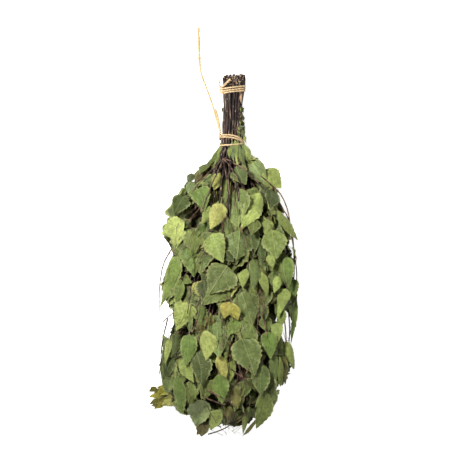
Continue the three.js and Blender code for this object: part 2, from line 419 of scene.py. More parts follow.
# %% [markdown]
# ## Loose fibres
# Bast is never spun quite tight. A few short hairs stand off the twine, each a thin tube of three
# sides that leaves the twine outwards and then bends along it.

# %% Spinning twine along a path
TWINE_STEP = 0.0011
FIBRE_RADII = (0.11, 0.09, 0.05)  # of a loose fibre, in millimetres, from its root to its tip
FIBRE_PLACE = (0.2, 3.0)  # where loose fibres take their colour from, on the twine's map


def loose_fibre(spots, out_dir, sideways, first):
    """A hair of three sides through three points. Its corners are numbered on from first."""
    corners = []
    for spot, thick in zip(spots, FIBRE_RADII):
        for k in range(3):
            angle = 2 * math.pi * k / 3
            offset = math.cos(angle) * sideways + math.sin(angle) * out_dir
            corners.append((spot + offset * thick * MM).tolist())
    faces = []
    for j in range(2):
        for k in range(3):
            a, b = first + 3 * j + k, first + 3 * j + (k + 1) % 3
            faces.append((a, b, b + 3, a + 3))
    return corners, faces + [(first + 2, first + 1, first), (first + 6, first + 7, first + 8)]


def twine_mesh(name, path, radius, fibres, dice, frays_from=None, bleach=0.0, lowest=0.0):
    """Twisted twine along a path, with some loose fibres, and nothing of it below the lowest height."""
    points, run = smooth_path(path, TWINE_STEP)
    ahead, across, up = path_frames(points)
    corners, faces, run_uv = twisted_tube(points, run, across, up, radius, frays_from)
    for _ in range(fibres):
        i = int(dice.integers(3, len(points) - 4))
        lean = dice.uniform(0, 2 * np.pi)
        out_dir = math.cos(lean) * across[i] + math.sin(lean) * up[i]
        root = points[i] + out_dir * radius * 0.8
        reach = dice.uniform(0.7, 1.9) * MM
        drift = ahead[i] * dice.uniform(-2.2, 3.4) * MM
        bend = root + 0.55 * reach * out_dir + 0.4 * drift
        spots = [root, bend, root + 0.8 * reach * out_dir + drift]
        side = np.cross(ahead[i], out_dir)
        hair_corners, hair_faces = loose_fibre(spots, out_dir, side, len(corners))
        corners += hair_corners
        faces += hair_faces
        run_uv += [FIBRE_PLACE] * sum(len(face) for face in hair_faces)
    corners = np.array(corners)
    corners[:, 2] = np.maximum(corners[:, 2], lowest)
    mesh = bpy.data.meshes.new(name)
    mesh.from_pydata(corners.tolist(), [], faces)
    mesh.uv_layers.new(name="twine_run").data.foreach_set("uv", np.array(run_uv, np.float32).ravel())
    bleached = np.full(len(corners), bleach, np.float32)
    mesh.attributes.new("bleached", "FLOAT", "POINT").data.foreach_set("value", bleached)
    mesh.materials.append(twine_finish)
    mesh.update()
    piece = bpy.data.objects.new(name, mesh)
    bpy.context.scene.collection.objects.link(piece)
    face_outwards(piece, sharp_angle=50)
    return piece, points


# %% [markdown]
# ## The loose ends
# Both leave the knot of the lower tie, sink to the table and lie on it. A loose end is a real length
# of a soft thing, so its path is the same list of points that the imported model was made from.

# %% Loose ends of the lower tie
TAIL_RADIUS = 1.55 * MM  # over the lobes of its two strands
TAIL_LOWEST = 0.05 * MM
LONG_TAIL = [
    (-5.4, 196.2, 20.6), (-5.7, 199.5, 20.4), (-6.6, 204.5, 19.0), (-8.2, 210.5, 15.9),
    (-10.0, 217, 11.6), (-11.8, 223, 7.4), (-13.6, 229.5, 4.0), (-15.6, 237, 1.9), (-17.8, 244.5, 1.3),
    (-20.3, 252, 1.25),
    (-23.4, 261, 1.25), (-27.2, 271, 1.25), (-31.0, 281, 1.25), (-34.2, 290, 1.25), (-36.6, 299, 1.25),
    (-38.0, 310, 1.25), (-38.6, 322, 1.25), (-39.0, 335, 1.25), (-39.4, 348, 1.25), (-39.8, 359, 1.25),
    (-40.2, 369, 1.25),
]
SHORT_TAIL = [
    (-4.4, 196.2, 25.8), (-4.6, 199.5, 25.5), (-5.2, 204.5, 23.8), (-6.2, 210, 20.4), (-7.4, 216, 15.8),
    (-8.7, 221.5, 11.2), (-10.0, 227, 6.8), (-11.3, 232, 3.4), (-12.3, 236.8, 1.3),
]

# name, route, number of loose fibres, where it begins to fray, seed
LOOSE_ENDS = [
    ("tie_tail_long", LONG_TAIL, 70, 0.115, 1),
    ("tie_tail_short", SHORT_TAIL, 14, None, 2),
]
for name, route, fibres, frays_from, seed in LOOSE_ENDS:
    route = [tuple(v * MM for v in point) for point in route]
    dice = np.random.default_rng(seed)
    tail, centre_line = twine_mesh(
        name + "_twine", route, TAIL_RADIUS, fibres, dice, frays_from, bleach=1.0, lowest=TAIL_LOWEST
    )
    finish_piece(tail, "twine", name)

# %% [markdown]
# ## The ties
# Each tie is wound three times round the handle. The winding follows the real surface of the bundle,
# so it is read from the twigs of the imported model: the middle of the core twig, and the distance out
# to the bark of the outermost ones.

# %% Where the bundle runs
OUTER_TWIGS = 18
SAME_RING = 2e-5  # corners whose Y differs by less lie on one cross-section


def rings_of(node):
    """The cross-sections of a lofted CAD node: their Y, their middle and their largest radius."""
    points = np.array([v.co for v in frame["nodes"][node].data.vertices])
    rings = []
    for y in sorted(set(np.round(points[:, 1], 5)), reverse=True):
        ring = points[np.abs(points[:, 1] - y) < SAME_RING][:, [0, 2]]
        middle = (ring.min(axis=0) + ring.max(axis=0)) / 2
        rings.append((y, *middle, np.linalg.norm(ring - middle, axis=1).max()))
    return np.array(rings)


core = rings_of("twig_core")


def axis_at(y):
    """The middle of the bundle, as x and z."""
    return np.array([np.interp(-y, -core[:, 0], core[:, k]) for k in (1, 2)])


outer_twigs = [rings_of(f"twig_outer_{i + 1:02d}") for i in range(OUTER_TWIGS)]


def handle_radius(y):
    """From the middle of the bundle to the bark of its outermost twigs."""
    reach = []
    for rings in outer_twigs:
        spot = np.array([np.interp(-y, -rings[:, 0], rings[:, k]) for k in (1, 2)])
        reach.append(np.linalg.norm(spot - axis_at(y)) + np.interp(-y, -rings[:, 0], rings[:, 3]))
    return max(reach)


print("handle radius at the lower tie", round(handle_radius(BUTT_Y - 0.104) / MM, 2), "mm")

# %% [markdown]
# ## Winding the ties
# A turn of the winding is a circle round the bundle that slides along it. Where it slides to is given
# for a few turns, as turns and millimetres from the cut ends, and is smoothed in between, because a
# taut string has no corners. It begins at the left edge and runs clockwise over the top.

# %% Winding round the handle
TIE_RADIUS = 1.4 * MM
STEPS_PER_TURN = 16
LOWEST_TURN = 1.5 * MM  # the height of the twine's middle where the handle lies on the table
UPPER_STATIONS = [(0, 32.2), (0.5, 26.8), (1, 28.6), (1.5, 23.2), (2, 24.8), (2.5, 19.6), (3, 20.8)]
LOWER_STATIONS = [
    (0, 98.6), (0.25, 99.6), (0.5, 108.6), (0.75, 106.4), (1, 102.3), (1.25, 103.3), (1.5, 112.0),
    (1.75, 114.6), (2, 115.6), (2.25, 114.6), (2.5, 111.6), (2.75, 108.6), (3, 104.6),
]


def winding(stations, first, last, stand_off=lambda turns: 0.0):
    """Points round the handle, from the first turn to the last, at a stand-off in millimetres."""
    table = np.array(stations, float)
    smooth = smooth_path(np.column_stack([table, np.zeros(len(table))]), 0.02)[0]
    points = []
    for turn in np.arange(first, last + 0.01, 1 / STEPS_PER_TURN):
        y = BUTT_Y - np.interp(turn, smooth[:, 0], smooth[:, 1]) * MM
        radius = handle_radius(y) + TIE_RADIUS * 0.9 + stand_off(turn) * MM
        angle = math.pi - 2 * math.pi * turn
        x, z = axis_at(y) + radius * np.array([math.cos(angle), math.sin(angle)])
        points.append((x, y, max(z, LOWEST_TURN)))
    return points


# %% [markdown]
# ## The upper tie
# Its first end stands up beside the handle at the left, and its last end lies over the sawn face,
# where it is worn and thick.

# %% The upper tie
BESIDE_LEFT = [
    (-7, 9, 23), (-5.8, 15.5, 22.8), (-5.0, 21.5, 22.4), (-4.6, 26.5, 22.0), (-4.2, 30.2, 22.6),
]
OVER_THE_CUT = [(1, 19.8, 32.2), (5.6, 15.4, 36), (12, 9.5, 36.2)]


def beside_twigs(spots):
    """Places given as x, station and height, in millimetres."""
    return [(x * MM, BUTT_Y - station * MM, z * MM) for x, station, z in spots]


upper_path = beside_twigs(BESIDE_LEFT)
upper_path += winding(UPPER_STATIONS, 0.08, 2.98)
upper_path += beside_twigs(OVER_THE_CUT)
dice = np.random.default_rng(3)
upper_tie, _ = twine_mesh("upper_tie_twine", upper_path, TIE_RADIUS, 40, dice, frays_from=0.352)
finish_piece(upper_tie, "twine", "upper_tie")
print("upper tie:", len(upper_tie.data.polygons), "faces")

# %% [markdown]
# ## The lower tie
# Two turns lie side by side and the third lies apart, nearer to the leaves. The last half turn crosses
# over the others under the handle and comes up at the left edge, where it ends in a knot. The knot is
# made as a small ball of twine that is wound round itself.

# %% The lower tie
CROSSING_HEIGHT = 3.0  # millimetres off the handle
CROSSING_START, CROSSING_RUN = 2.46, 0.14  # turns: where the climb starts, and how long it takes


def crossing(turns):
    """How far, in millimetres, the last half turn stands off the handle."""
    return CROSSING_HEIGHT * min(max((turns - CROSSING_START) / CROSSING_RUN, 0), 1)


lower_path = winding(LOWER_STATIONS, 0, 3, crossing)
KNOT_MIDDLE = (-4.4 * MM, BUTT_Y - 100.6 * MM, 22.2 * MM)
KNOT_SIZE = 2.5 * MM
KNOT_POINTS = 40
knot_path = []
for turn in np.linspace(0, 3.9 * math.pi, KNOT_POINTS):
    reach = KNOT_SIZE * (1 + 0.5 * math.cos(1.5 * turn))
    knot_path.append((
        KNOT_MIDDLE[0] + 0.6 * KNOT_SIZE * math.sin(1.5 * turn),
        KNOT_MIDDLE[1] + reach * math.sin(turn),
        KNOT_MIDDLE[2] + reach * math.cos(turn),
    ))
dice = np.random.default_rng(4)
lower_tie, _ = twine_mesh("lower_tie_twine", lower_path + knot_path, TIE_RADIUS, 50, dice)
finish_piece(lower_tie, "twine", "lower_tie")
print("lower tie:", len(lower_tie.data.polygons), "faces")

# %% [markdown]
# ## Bark
# Thin birch twigs are purplish brown, with grey streaks where the skin has dried off, and small pale
# pores. The streaks are a noise that is drawn out along the twigs. The pores are the dots of a cell
# pattern, of which only some are chosen.

# %% Bark
bark, tree, shader = new_material("birch_bark")
at = tree.nodes.new("ShaderNodeTexCoord").outputs["Object"]
streaks = noise_at(tree, stretched(tree, at, (420.0, 22.0, 420.0)), 1.0, detail=5.0)
patches = noise_at(tree, stretched(tree, at, (260.0, 14.0, 260.0)), 1.0, detail=2.0)
base = mix(tree, ramp(tree, patches, 0.38, 0.62), rgb(15, 8, 6), rgb(50, 31, 25))
grey = mix(tree, ramp(tree, streaks, 0.55, 0.67), base, rgb(166, 146, 122))
spots = wire(
    tree,
    "ShaderNodeTexVoronoi",
    {"Vector": stretched(tree, at, (300.0, 210.0, 300.0)), "Scale": 1.0, "Randomness": 1.0},
)
dot = ramp(tree, spots.outputs["Distance"], 0.26, 0.12)
own_number = wire(tree, "ShaderNodeSeparateColor", {0: spots.outputs["Color"]}).outputs[0]
chosen = ramp(tree, own_number, 0.62, 0.66)
pores = calc(tree, "MULTIPLY", dot, chosen)
speckled = mix(tree, calc(tree, "MULTIPLY", pores, 0.75), grey, rgb(178, 162, 142))
tint = use_group(tree, cloudy, {"Colour": speckled, "Place": at, "Scale": 60.0, "Strength": 0.9})
height = calc(tree, "ADD", calc(tree, "MULTIPLY", streaks, 0.7), calc(tree, "MULTIPLY", pores, 0.6))
paint(tree, shader, tint["Colour"], height, 0.8, 0.0004)
tree.links.new(ramp(tree, streaks, 0.3, 0.7, 0.5, 0.75), shader["Roughness"])
shader["Specular IOR Level"].default_value = 0.28
print("bark:", len(tree.nodes), "nodes")

# %% [markdown]
# ## Cut wood
# The sawn ends are tan, darker where the wood has weathered, and rough from the saw.

# %% Cut wood
cut_wood, tree, shader = new_material("cut_wood")
at = tree.nodes.new("ShaderNodeTexCoord").outputs["Object"]
grain = noise_at(tree, at, 900.0, detail=3.0)
base = mix(tree, ramp(tree, grain, 0.35, 0.65), rgb(128, 98, 74), rgb(196, 168, 134))
tint = use_group(tree, cloudy, {"Colour": base, "Place": at, "Scale": 160.0, "Strength": 0.7})
paint(tree, shader, tint["Colour"], grain, 0.6, 0.0003)
shader["Roughness"].default_value = 0.9
print("cut wood:", len(tree.nodes), "nodes")

# %% [markdown]
# ## Twigs
# A twig could be drawn anew as a curve, but its solid already has the right course and thickness. So
# each twig starts as a copy of its solid, merged and smoothed by subdivision. Two cloud textures then
# push its skin about: a fine one for knots and leaf scars, a broad one so that it isn't straight. The
# cut is turned up a little, because the bundle was sawn at a slant.

# %% Tools for the twigs
fine_lumps = bpy.data.textures.new("bark_lumps", "CLOUDS")
fine_lumps.noise_scale = 0.007
broad_bends = bpy.data.textures.new("twig_bends", "CLOUDS")
broad_bends.noise_scale = 0.045
print("lumps of", round(fine_lumps.noise_scale / MM), "mm, bends of", round(broad_bends.noise_scale / MM), "mm")


def select_where(piece, test):
    """In edit mode, selects the corners whose place passes the test, and no others."""
    bpy.ops.mesh.select_all(action="DESELECT")
    bpy.ops.mesh.select_mode(type="VERT")
    bpy.ops.object.mode_set(mode="OBJECT")
    chosen = [test(v.co) for v in piece.data.vertices]
    piece.data.vertices.foreach_set("select", chosen)
    bpy.ops.object.mode_set(mode="EDIT")


def add_modifier(piece, kind, **settings):
    """Adds a modifier with its settings and applies it."""
    modifier = piece.modifiers.new(kind.lower(), kind)
    for name, value in settings.items():
        setattr(modifier, name, value)
    bpy.ops.object.modifier_apply(modifier=modifier.name)


# %% [markdown]
# A twig is grown in three steps: its own copy of the solid, the skin, and the sawn end. The flat ends
# are creased before the skin is smoothed, or they would round off.

# %% A twig's skin
SAME_PLACE = 1e-5  # corners that lie closer than this are one
END_DEPTH = 1e-4  # corners this near to an end belong to its flat face
SWELLING = ([0.02, 0.12, 0.3], [1.0, 0.85, 0.25])  # stations, and how far the skin swells there


def copy_solid(node):
    """The twig's solid as a mesh of its own, selected, with the two finishes of a twig."""
    twig = frame["nodes"][node].copy()
    twig.data = twig.data.copy()
    twig.parent = None
    twig.name = node + "_bark"
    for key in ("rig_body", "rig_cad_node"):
        if key in twig:
            del twig[key]
    bpy.context.scene.collection.objects.link(twig)
    deselect()
    twig.select_set(True)
    bpy.context.view_layer.objects.active = twig
    twig.data.materials.clear()
    twig.data.materials.append(bark)
    twig.data.materials.append(cut_wood)
    return twig


def smooth_skin(twig):
    """Merges and subdivides the copy, and keeps its two flat ends."""
    top = max(v.co.y for v in twig.data.vertices)
    tip = min(v.co.y for v in twig.data.vertices)
    bpy.ops.object.mode_set(mode="EDIT")
    bpy.ops.mesh.select_all(action="SELECT")
    bpy.ops.mesh.remove_doubles(threshold=SAME_PLACE)
    select_where(twig, lambda co: co.y > top - END_DEPTH or co.y < tip + END_DEPTH)
    bpy.ops.transform.edge_crease(value=1.0)
    bpy.ops.object.mode_set(mode="OBJECT")
    add_modifier(twig, "SUBSURF", levels=2, render_levels=2)


def gnarl(twig):
    """Gives the twig its lumps, the thicker skin of its handle end, and its bends."""
    thick = twig.vertex_groups.new(name="handle")
    for v in twig.data.vertices:
        thick.add([v.index], float(np.interp(BUTT_Y - v.co.y, *SWELLING)), "REPLACE")
    push = {"mid_level": 0.5, "texture_coords": "LOCAL"}
    add_modifier(twig, "DISPLACE", strength=0.0011, texture=fine_lumps, **push)
    add_modifier(twig, "DISPLACE", strength=0.00042, mid_level=0.0, vertex_group="handle")
    for axis in "XZ":
        add_modifier(twig, "DISPLACE", strength=0.005, texture=broad_bends, direction=axis, **push)


# %% [markdown]
# The saw went through the whole bundle at one slant. So each twig's sawn face is turned by the same
# angle, about its own middle.

# %% Growing the twigs
CUT_TILT = math.radians(38)
SAWN_DEPTH = 2e-4  # corners this near to the sawn end belong to its face
FACES_END = 0.6  # a sawn face points along the bundle by at least this share


def saw_off(twig):
    """Turns up the sawn end and gives it the finish of cut wood."""
    top = max(v.co.y for v in twig.data.vertices)
    ends = [v.co for v in twig.data.vertices if v.co.y > top - SAWN_DEPTH]
    middle = sum(ends, Vector()) / len(ends)
    bpy.ops.object.mode_set(mode="EDIT")
    select_where(twig, lambda co: co.y > top - SAWN_DEPTH)
    bpy.ops.transform.rotate(value=CUT_TILT, orient_axis="X", center_override=middle)
    bpy.ops.object.mode_set(mode="OBJECT")
    for face in twig.data.polygons:
        face.material_index = int(face.normal.y > FACES_END and face.center.y > top - 4 * MM)


def grow_twig(node):
    """One twig, from its solid."""
    twig = copy_solid(node)
    smooth_skin(twig)
    gnarl(twig)
    saw_off(twig)
    face_outwards(twig, sharp_angle=45)
    finish_piece(twig, "bark", node)
    return twig


twig_nodes = sorted(name for name in frame["nodes"] if name.startswith("twig_"))
twigs = [grow_twig(node) for node in twig_nodes]
print(len(twigs), "twigs,", sum(len(t.data.polygons) for t in twigs), "faces")

# %% [markdown]
# ## The shape that the leaves fill
# The leaves lie on a shape like a flattened barrel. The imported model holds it, as the outsides of its
# eighteen spray solids. Rays cast from outside find that surface all round, at every station.

# %% Reading the leaves' surface from the solids
STATION_STEP = 0.005
STATIONS = np.arange(0.122, 0.583, STATION_STEP)
ANGLES = np.linspace(0, 2 * np.pi, 72, endpoint=False)
FAR_OUT = 0.4  # rays start this far out, which is outside the whisk, and end after this length
ENOUGH = 8  # a row with fewer hits than this says nothing

spray_names = sorted(name for name in frame["nodes"] if name.startswith("leaf_spray_"))
shell_points, shell_faces, shell_owner = [], [], []
for owner, name in enumerate(spray_names):
    mesh = frame["nodes"][name].data
    first = len(shell_points)
    shell_points += [v.co.copy() for v in mesh.vertices]
    shell_faces += [tuple(first + i for i in face.vertices) for face in mesh.polygons]
    shell_owner += [owner] * len(mesh.polygons)
shell_tree = BVHTree.FromPolygons(shell_points, shell_faces)


def heal(values):
    """Fills gaps in a closed row from the nearest known values."""
    known = np.flatnonzero(~np.isnan(values))
    if len(known) < ENOUGH:
        return None
    n = len(values)
    around = np.concatenate([known - n, known, known + n])
    return np.interp(np.arange(n), around, np.tile(values[known], 3))


reach_rows = []
for station in STATIONS:
    y = BUTT_Y - station
    middle = axis_at(y)
    row = np.full(len(ANGLES), np.nan)
    for k, angle in enumerate(ANGLES):
        out_dir = Vector((math.cos(angle), 0, math.sin(angle)))
        start = Vector((middle[0], y, middle[1])) + out_dir * FAR_OUT
        hit = shell_tree.ray_cast(start, -out_dir, FAR_OUT)[0]
        if hit is not None:
            row[k] = FAR_OUT - (hit - start).length
    reach_rows.append(heal(row))
# Past the far end of the solids the surface closes in a little with every row.
for k in range(len(reach_rows)):
    if reach_rows[k] is None:
        reach_rows[k] = reach_rows[k - 1] * 0.97 if k else None
first_known = next(row for row in reach_rows if row is not None)
reach_table = np.array([first_known if row is None else row for row in reach_rows])
print("leaf surface read at", reach_table.size, "places")
print("widest reach", round(reach_table.max() / MM), "mm")

# %% [markdown]
# ## Asking the surface
# A leaf has to know how far out the surface is at its own place, which way it faces there, and which
# spray's solid is nearest. These helpers answer that. A place on the surface is a station along the
# whisk and an angle round it, and a depth below it.

# %% Places on the leaves' surface
FROM_ABOVE = 0.3  # a height from which rays look down on the whisk
LOWEST_PLACE = 0.6 * MM


def reach_at(station, angle):
    """From the bundle's middle out to the leaves' surface."""
    row = float(np.clip((station - STATIONS[0]) / STATION_STEP, 0, len(STATIONS) - 1.001))
    column = (angle % (2 * math.pi)) / (2 * math.pi) * len(ANGLES)
    i, j = int(row), int(column) % len(ANGLES)
    a, b = row - i, column - int(column)
    k = (j + 1) % len(ANGLES)
    low = reach_table[i, j] * (1 - b) + reach_table[i, k] * b
    high = reach_table[i + 1, j] * (1 - b) + reach_table[i + 1, k] * b
    return low * (1 - a) + high * a


def on_shell(station, angle, depth=0.0):
    """A point of the leaves' surface, or deeper."""
    y = BUTT_Y - station
    out_dir = np.array([math.cos(angle), math.sin(angle)])
    x, z = axis_at(y) + (reach_at(station, angle) - depth) * out_dir
    return np.array([x, y, max(z, LOWEST_PLACE)])


def unit(vector):
    """The same direction, one long."""
    return vector / max(np.linalg.norm(vector), 1e-9)


def shell_frame(station, angle):
    """At a point of the surface: outwards, down the whisk, and across."""
    down = unit(on_shell(station + 0.01, angle) - on_shell(station - 0.01, angle))
    across = unit(on_shell(station, angle + 0.08) - on_shell(station, angle - 0.08))
    outward = unit(np.cross(down, across))
    radial = np.array([math.cos(angle), 0, math.sin(angle)])
    if outward.dot(radial) < 0:
        outward = -outward
    return outward, down, unit(np.cross(outward, down))


def crown(x, y):
    """The height of the leaves' surface as seen from above, and how it faces."""
    hit, normal, _, _ = shell_tree.ray_cast(Vector((x, y, FROM_ABOVE)), Vector((0, 0, -1)), FAR_OUT)
    if hit is None:
        hit, normal, _, _ = shell_tree.find_nearest(Vector((x, y, axis_at(y)[1])))
    return hit.z, np.array(normal)


def owner_of(point):
    """Which spray a point belongs to."""
    return shell_owner[shell_tree.find_nearest(Vector(point))[2]]


print("height over the middle of the leaves:", round(crown(0.0, 0.0)[0] / MM), "mm")

# %% [markdown]
# ## Leaf colours
# The leaves dried in different ways: most went a dull green, some stayed bright, some turned yellow
# before they fell flat. Each leaf gets one tone, changed a little, and stores it on its own corners.

# %% Tones
TONES = {
    "bright": rgb(147, 162, 84),
    "light": rgb(154, 168, 88),
    "mid": rgb(115, 128, 64),
    "dull": rgb(107, 121, 66),
    "dark": rgb(80, 92, 47),
    "green": rgb(112, 133, 62),
    "grey": rgb(127, 142, 90),
    "yellow": rgb(200, 190, 92),
    "pale": rgb(164, 175, 95),
    "brownish": rgb(176, 175, 94),
    "olive": rgb(126, 123, 64),
    "brown": rgb(92, 84, 50),
    "mustard": rgb(156, 148, 50),
    "moss": rgb(112, 108, 40),
    "peeled": rgb(232, 190, 146),
}
COMMON_TONES = ["mid", "dull", "dark", "green", "light", "grey", "olive", "pale", "brownish", "brown"]
COMMON_SHARE = [0.25, 0.22, 0.15, 0.12, 0.09, 0.05, 0.05, 0.03, 0.03, 0.01]
print(len(TONES), "tones, of which", len(COMMON_TONES), "are common")

# %% [markdown]
# ## Veins
# A birch leaf has a midrib, straight side veins that slant towards the tip, and a fine net between
# them. They are drawn in the leaf's own plan: across from edge to edge, and along from base to tip.
# They are a group of their own, because both colour and relief need them.

# %% Shared effect: veins
VEIN_PAIRS = 8.0
veins, given, out = new_group(
    "leaf_veins", [("Plan", "Vector", None)], [("Main", "Float"), ("All", "Float")]
)
split = wire(veins, "ShaderNodeSeparateXYZ", {0: given["Plan"]}).outputs
off_middle = calc(veins, "ABSOLUTE", calc(veins, "SUBTRACT", split["X"], 0.5))
from_midrib = calc(veins, "MULTIPLY", off_middle, 2.0)
midrib = ramp(veins, from_midrib, 0.055, 0.02)
slanted = calc(veins, "MULTIPLY_ADD", from_midrib, -0.4, split["Y"])
share = calc(veins, "FRACT", calc(veins, "MULTIPLY", slanted, VEIN_PAIRS))
between = calc(veins, "ABSOLUTE", calc(veins, "SUBTRACT", share, 0.5))
side_veins = calc(veins, "MULTIPLY", ramp(veins, between, 0.09, 0.02), 0.75)
main = calc(veins, "MAXIMUM", midrib, side_veins)
net = wire(
    veins,
    "ShaderNodeTexVoronoi",
    {"Vector": stretched(veins, given["Plan"], (22.0, 26.0, 1.0)), "Scale": 1.0},
    feature="DISTANCE_TO_EDGE",
).outputs["Distance"]
veins.links.new(main, out["Main"])
fine_net = calc(veins, "MULTIPLY", ramp(veins, net, 0.09, 0.02), 0.35)
veins.links.new(calc(veins, "MAXIMUM", main, fine_net), out["All"])
print("veins group:", len(veins.nodes), "nodes")

# %% [markdown]
# ## Leaf finish
# A dried leaf is blotched in wide patches and mottled in small ones, and paler below. Its rim gets a
# painted highlight, a paler yellow-green, and is brown in places. All leaves share one material. What
# differs from leaf to leaf, its tone and how dry it is, is read from attributes stored on its corners.

# %% Leaf material
leaf_skin, tree, shader = new_material("dried_leaf")
at = tree.nodes.new("ShaderNodeTexCoord").outputs["Object"]
plan_uv = wire(tree, "ShaderNodeUVMap", uv_map="leaf_plan").outputs["UV"]
own_tint = wire(tree, "ShaderNodeAttribute", attribute_name="leaf_tint").outputs["Color"]
under = wire(tree, "ShaderNodeAttribute", attribute_name="underside").outputs["Fac"]
rim = wire(tree, "ShaderNodeAttribute", attribute_name="rim").outputs["Fac"]
dryness = wire(tree, "ShaderNodeAttribute", attribute_name="dryness").outputs["Fac"]
pattern = use_group(tree, veins, {"Plan": plan_uv})
patchy = use_group(tree, cloudy, {"Colour": own_tint, "Place": at, "Scale": 42.0, "Strength": 0.6})
blotches = {"Colour": patchy["Colour"], "Place": at, "Scale": 220.0, "Strength": 0.8}
mottled = use_group(tree, cloudy, blotches)
paler = mix(tree, 0.3, mottled["Colour"], rgb(168, 178, 130))
blade = mix(tree, calc(tree, "MULTIPLY", under, 0.9), mottled["Colour"], paler)
veined = mix(tree, calc(tree, "MULTIPLY", pattern["Main"], 0.18), blade, rgb(186, 188, 128))
dry_noise = noise_at(tree, at, 160.0, detail=4.0)
edge = calc(tree, "MULTIPLY", ramp(tree, rim, 0.35, 1.0), ramp(tree, dry_noise, 0.42, 0.62))
spot = ramp(tree, noise_at(tree, at, 320.0, detail=2.0), 0.68, 0.76)
dry = calc(tree, "MULTIPLY", calc(tree, "MAXIMUM", edge, spot), dryness, clamp=True)
# Painted highlight: the rim of every leaf is lightened towards a pale yellow-green.
painted_rim_highlight = ramp(tree, rim, 0.45, 1.0, 0.0, 0.55)
rim_highlighted = mix(tree, painted_rim_highlight, veined, rgb(186, 190, 120))
aged = mix(tree, dry, rim_highlighted, rgb(118, 100, 58))
relief = calc(tree, "MULTIPLY_ADD", pattern["All"], 0.6, calc(tree, "MULTIPLY", dry_noise, 0.5))
paint(tree, shader, aged, relief, 1.0, 0.002)
tree.links.new(ramp(tree, mottled["Cloud"], 0.3, 0.7, 0.5, 0.75), shader["Roughness"])
shader["Specular IOR Level"].default_value = 0.3
print("leaf material:", len(tree.nodes), "nodes")

# %% [markdown]
# ## Side twigs and stalks
# They are thinner than the twigs and redder, and too thin for streaks or pores to show.

# %% Material of side twigs and leaf stalks
twiglet_skin, tree, shader = new_material("side_twig")
at = tree.nodes.new("ShaderNodeTexCoord").outputs["Object"]
grain = noise_at(tree, at, 140.0, detail=3.0)
base = mix(tree, ramp(tree, grain, 0.4, 0.6), rgb(42, 26, 21), rgb(126, 97, 76))
tint = use_group(tree, cloudy, {"Colour": base, "Place": at, "Scale": 400.0, "Strength": 0.3})
paint(tree, shader, tint["Colour"], grain, 0.5, 0.0003)
shader["Roughness"].default_value = 0.7
print("side twig material:", len(tree.nodes), "nodes")

# %% [markdown]
# ## One leaf
# A birch leaf is a rhomb with a long tip and a toothed edge. It is modelled once, flat: a grid whose
# rows are drawn in to the leaf's outline, and whose edge is pushed out into a tooth on every other
# row. A coarser one, with fewer rows, does for the many leaves that are mostly hidden.

# %% Modelling the flat leaf
OUTLINES = {
    # shares of the length, and half widths there
    "rhomb": (
        [0, 0.06, 0.2, 0.38, 0.52, 0.7, 0.88, 1],
        [0.06, 0.4, 0.82, 1.0, 0.92, 0.62, 0.26, 0.02],
    ),
    "ovate": (
        [0, 0.05, 0.12, 0.28, 0.45, 0.62, 0.8, 0.92, 1],
        [0.08, 0.56, 0.86, 1.0, 0.94, 0.72, 0.4, 0.18, 0.02],
    ),
    "delta": (
        [0, 0.04, 0.1, 0.22, 0.34, 0.52, 0.7, 0.88, 1],
        [0.12, 0.64, 0.92, 1.0, 0.95, 0.75, 0.46, 0.2, 0.02],
    ),
}
NEAR_ROW = 0.25  # corners within this share of a row's height belong to the row
TOOTH_LEAN = 0.2  # how far a tooth points ahead, as a share of a row's height


def flat_leaf(name, outline, rows, columns, tooth):
    """A leaf one long and two wide at its widest, with its base at the origin and its tip at y = 1."""
    deselect()
    bpy.ops.mesh.primitive_grid_add(x_subdivisions=columns, y_subdivisions=rows, size=1)
    leaf = bpy.context.object
    leaf.name = name
    bpy.ops.object.mode_set(mode="EDIT")
    bpy.ops.mesh.select_all(action="SELECT")
    bpy.ops.transform.translate(value=(0, 0.5, 0))
    for row in range(rows + 1):
        y = row / rows
        half = float(np.interp(y, *OUTLINES[outline]))
        select_where(leaf, lambda co: abs(co.y - y) < NEAR_ROW / rows)
        bpy.ops.transform.resize(value=(2 * half, 1, 1), center_override=(0, y, 0))
        if row % 2 == 1 and row < rows:
            select_where(leaf, lambda co: abs(co.y - y) < NEAR_ROW / rows and abs(co.x) > 0.9 * half)
            bpy.ops.transform.resize(value=(1 + tooth, 1, 1), center_override=(0, y, 0))
            bpy.ops.transform.translate(value=(0, TOOTH_LEAN / rows, 0))
    for y in (0, 1):
        select_where(leaf, lambda co: abs(co.y - y) < NEAR_ROW / rows)
        bpy.ops.mesh.merge(type="CENTER")
    bpy.ops.object.mode_set(mode="OBJECT")
    plan = np.array([v.co[:2] for v in leaf.data.vertices])
    faces = [tuple(face.vertices) for face in leaf.data.polygons]
    bpy.data.objects.remove(leaf)
    return close_leaf(plan, faces)


# %% [markdown]
# A blade has two sides. The flat leaf is doubled into an upper side and an underside that share the
# rim, so that it is closed all round however it is bent later.

# %% Closing the leaf
def close_leaf(plan, faces):
    """Doubles a flat leaf into an upper side and an underside that share their rim."""
    uses = {}
    for face in faces:
        for edge in zip(face, face[1:] + face[:1]):
            uses[frozenset(edge)] = uses.get(frozenset(edge), 0) + 1
    rim = sorted({corner for edge, count in uses.items() if count == 1 for corner in edge})
    inner = [i for i in range(len(plan)) if i not in set(rim)]
    below = dict(zip(rim, rim)) | {i: len(plan) + k for k, i in enumerate(inner)}
    side = np.ones(len(plan) + len(inner))
    side[rim] = 0
    side[len(plan):] = -1
    return {
        "plan": np.vstack([plan, plan[inner]]),
        "faces": faces + [tuple(below[i] for i in reversed(face)) for face in faces],
        "side": side,
        "upper": len(faces),
    }


FINE_LEAVES = [flat_leaf("fine_" + outline, outline, 16, 6, 0.11) for outline in OUTLINES]
PLAIN_LEAVES = [flat_leaf("plain_" + outline, outline, 10, 4, 0.14) for outline in OUTLINES]
print("a fine leaf has", len(FINE_LEAVES[0]["faces"]), "faces")
print("a plain leaf has", len(PLAIN_LEAVES[0]["faces"]), "faces")

